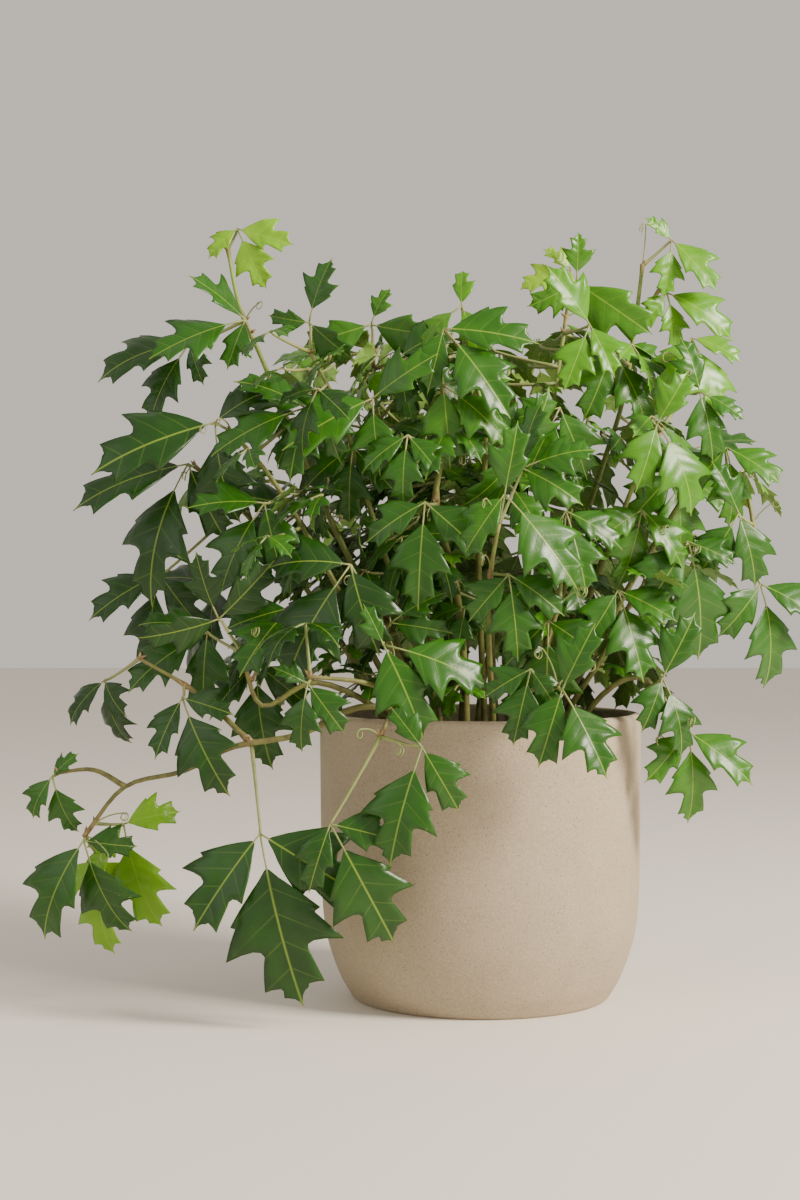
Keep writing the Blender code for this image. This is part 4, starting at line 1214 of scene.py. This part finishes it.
def fine_pot(paint):
    """The planter turned finely, with a rolled rim and a slightly raised heel."""
    outside = [Vector((r, 0, z)) for r, z in POT_PROFILE]
    wall = [(p.x, p.z) for p in smooth_route(outside[1:], 6)]
    shoulder, half = outside[-1].z, WALL / 2
    rim = []
    for k in range(1, 12):
        angle = math.pi * k / 12
        across = RIM_RADIUS - half + half * math.cos(angle)
        rim.append((across, shoulder + (POT_HEIGHT - shoulder) * math.sin(angle)))
    inside = [(radius - WALL, z) for radius, z in POT_PROFILE[4::2]]
    inside.insert(0, (inside[0][0] - INNER_HEEL, FLOOR))
    profile = [(0, 0.0), (outside[0].x, 0.0)] + wall + rim + inside[::-1] + [(0, FLOOR)]
    return plain_mesh("planter", turned(profile, POT_SIDES), paint)


def fine_soil(paint):
    """Potting mix with an uneven, crumbly top, closed below."""
    edge, bottom = RIM_RADIUS - WALL - TOUCH_GAP, FLOOR + TOUCH_GAP
    profile = [(0, bottom), (edge - SOIL_HEEL, bottom)] + [(edge - inset, z) for inset, z in SOIL_FLANK]
    profile += [(edge * (1 - k / SOIL_RINGS), SOIL_TOP) for k in range(SOIL_RINGS)] + [(0, SOIL_TOP)]
    points, faces = turned(profile, SOIL_SIDES)
    for p in points:
        if p.z >= SOIL_TOP:
            rise = SOIL_MOUND * (1 - math.hypot(p.x, p.y) / edge)
            for height, rate in SOIL_WAVES:
                rise += height * noise.noise(p * rate)
            p.z += rise
    return plain_mesh("potting_mix_surface", (points, faces), paint, 80)


def crumb_tree(paint, seed):
    """A node tree that strews crumbs over upward faces, and its sizes by identifier."""
    tree = bpy.data.node_groups.new("soil_crumbs", "GeometryNodeTree")
    face = tree.interface
    face.new_socket("Geometry", in_out="INPUT", socket_type="NodeSocketGeometry")
    sizes = {}
    for name, value in CRUMB_SIZES.items():
        socket = face.new_socket(name, in_out="INPUT", socket_type="NodeSocketFloat")
        socket.default_value = value
        sizes[socket.identifier] = value
    face.new_socket("Geometry", in_out="OUTPUT", socket_type="NodeSocketGeometry")
    nodes = Nodes(tree)
    add = nodes.add
    start, end = tree.nodes.new("NodeGroupInput"), tree.nodes.new("NodeGroupOutput")
    radius, density = (start.outputs[name] for name in CRUMB_SIZES)
    slope = add("ShaderNodeSeparateXYZ", {0: add("GeometryNodeInputNormal", {})}, "Z")
    steep = {"A": slope, "B": 0.3}
    upward = add("FunctionNodeCompare", steep, "Result", data_type="FLOAT", operation="GREATER_THAN")
    strewn = {"Mesh": start.outputs["Geometry"], "Selection": upward, "Density": density, "Seed": seed}
    points = add("GeometryNodeDistributePointsOnFaces", strewn, "Points")
    crumb = add("GeometryNodeMeshIcoSphere", {"Subdivisions": 1, "Radius": radius}, "Mesh")
    least_and_most = {0: (0.4, 0.4, 0.3), 1: (1.5, 1.3, 0.9), "Seed": seed + 1}
    size = add("FunctionNodeRandomValue", least_and_most, data_type="FLOAT_VECTOR")
    any_turn = {1: (6.28, 6.28, 6.28), "Seed": seed + 2}
    turn = add("FunctionNodeRandomValue", any_turn, data_type="FLOAT_VECTOR")
    crumbs = {"Points": points, "Instance": crumb, "Scale": size, "Rotation": turn}
    placed = add("GeometryNodeInstanceOnPoints", crumbs, "Instances")
    real = add("GeometryNodeRealizeInstances", {"Geometry": placed}, "Geometry")
    painted = add("GeometryNodeSetMaterial", {"Geometry": real, "Material": paint}, "Geometry")
    nodes.feed(end, {"Geometry": painted})
    return tree, sizes


def soil_crumbs(surface, paint):
    """Loose crumbs strewn over the mix, as a plain mesh of their own."""
    tree, sizes = crumb_tree(paint, CRUMB_SEED)
    carrier = in_scene("crumb_carrier", surface.data.copy())
    step = carrier.modifiers.new("crumbs", "NODES")
    step.node_group = tree
    for identifier, value in sizes.items():
        step[identifier] = value
    depsgraph = bpy.context.evaluated_depsgraph_get()
    mesh = bpy.data.meshes.new_from_object(carrier.evaluated_get(depsgraph))
    bpy.data.objects.remove(carrier)
    mesh.name = "potting_mix_crumbs"
    return in_scene("potting_mix_crumbs", mesh)


def room():
    """Pale floor, soft light and the camera at the photograph's place."""
    mesh = bpy.data.meshes.new("floor")
    corners = ((-1, -1), (1, -1), (1, 1), (-1, 1))
    mesh.from_pydata([(x * FLOOR_REACH, y * FLOOR_REACH, 0) for x, y in corners], [], [(0, 1, 2, 3)])
    pale = Paint("pale_floor")
    pale.feed(pale.shader, {"Base Color": FLOOR_COLOUR, "Roughness": 0.7})
    mesh.materials.append(pale.material)
    floor = in_scene("floor", mesh)

    world = bpy.data.worlds.new("studio")
    world.use_nodes = True
    nodes = Nodes(world.node_tree)
    nodes.feed(world.node_tree.nodes["Background"], {"Color": SKY_COLOUR, "Strength": SKY_STRENGTH})
    bpy.context.scene.world = world
    for name, place, target, size, power, colour in LAMPS:
        lamp = bpy.data.lights.new(name, "AREA")
        lamp.size, lamp.energy, lamp.color = size, power, colour
        made = in_scene(name, lamp)
        made.location = place
        made.rotation_euler = (Vector(target) - Vector(place)).to_track_quat("-Z", "Y").to_euler()

    camera = bpy.data.cameras.new("camera")
    camera.lens = CAMERA_LENS
    camera.sensor_width = 36.0
    camera.sensor_fit = "AUTO"
    made = in_scene("camera", camera)
    made.location = CAMERA_AT
    made.rotation_euler = (math.radians(90), 0, 0)
    bpy.context.scene.camera = made


def add_tendril(pile, stem, rng):
    """A tendril from one of the stem's leaf joints."""
    leaf = rng.choice(stem.leaves)
    sway = Vector((rng.uniform(-1, 1), rng.uniform(-1, 0.4), rng.uniform(-0.3, 1)))
    way = (leaf.root - leaf.hub).normalized() * -0.4 + sway
    route = tendril(leaf.root, way.normalized(), rng)
    last = len(route) - 1
    add_tube(pile, route, [TENDRIL_THICK * (1 - 0.6 * k / last) for k in range(last + 1)], 5, 0.8, STALK)


def foliage(box):
    """Every stem's fine piece, in place of its solid."""
    upper = leaf_material("leaf_upper", UPPER_GREENS, 0.30, (0.32, 0.46, 0.05), 0.5, 0.26, -1.0)
    under = leaf_material("leaf_under", UNDER_GREENS, 0.6, (0.30, 0.40, 0.16), 0.55, 0.6, 2.2)
    stalk = speckled_material("leaf_stalk", STALK_GREENS, 120.0, 0.45, (600.0, 0.2, 0.0003))
    bark = bark_material()
    stems, space = grow()
    rng = random.Random(SEED + 1)
    extras = extra_leaves(stems, space, box, rng)
    for stem in stems:
        pile = MeshPile()
        for leaf in stem.leaves + [leaf for owner, leaf in extras if owner is stem]:
            add_leaf(pile, leaf, leaf_tone(leaf, rng))
        add_stem(pile, stem, rng)
        for _ in range(2 if stem.leaves else 0):
            add_tendril(pile, stem, rng)
        piece = pile.make(stem.name + "_foliage", [upper, under, stalk, bark])
        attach(piece, "root")
        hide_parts(stem.name)


def main():
    """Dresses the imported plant."""
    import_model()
    solid_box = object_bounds()
    room()
    stone = speckled_material("planter_stone", STONE_COLOURS, 1000.0, 0.8, (800.0, 0.5, 0.0004), 0.10, 260.0)
    earth = speckled_material("potting_mix", EARTH_COLOURS, 400.0, 0.95, (500.0, 0.8, 0.001))
    pot = fine_pot(stone)
    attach(pot, "root")
    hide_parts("pot")
    soil = fine_soil(earth)
    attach(soil, "root")
    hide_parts("potting_mix")
    crumbs = soil_crumbs(soil, earth)
    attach(crumbs, "root")
    foliage(solid_box)


main()
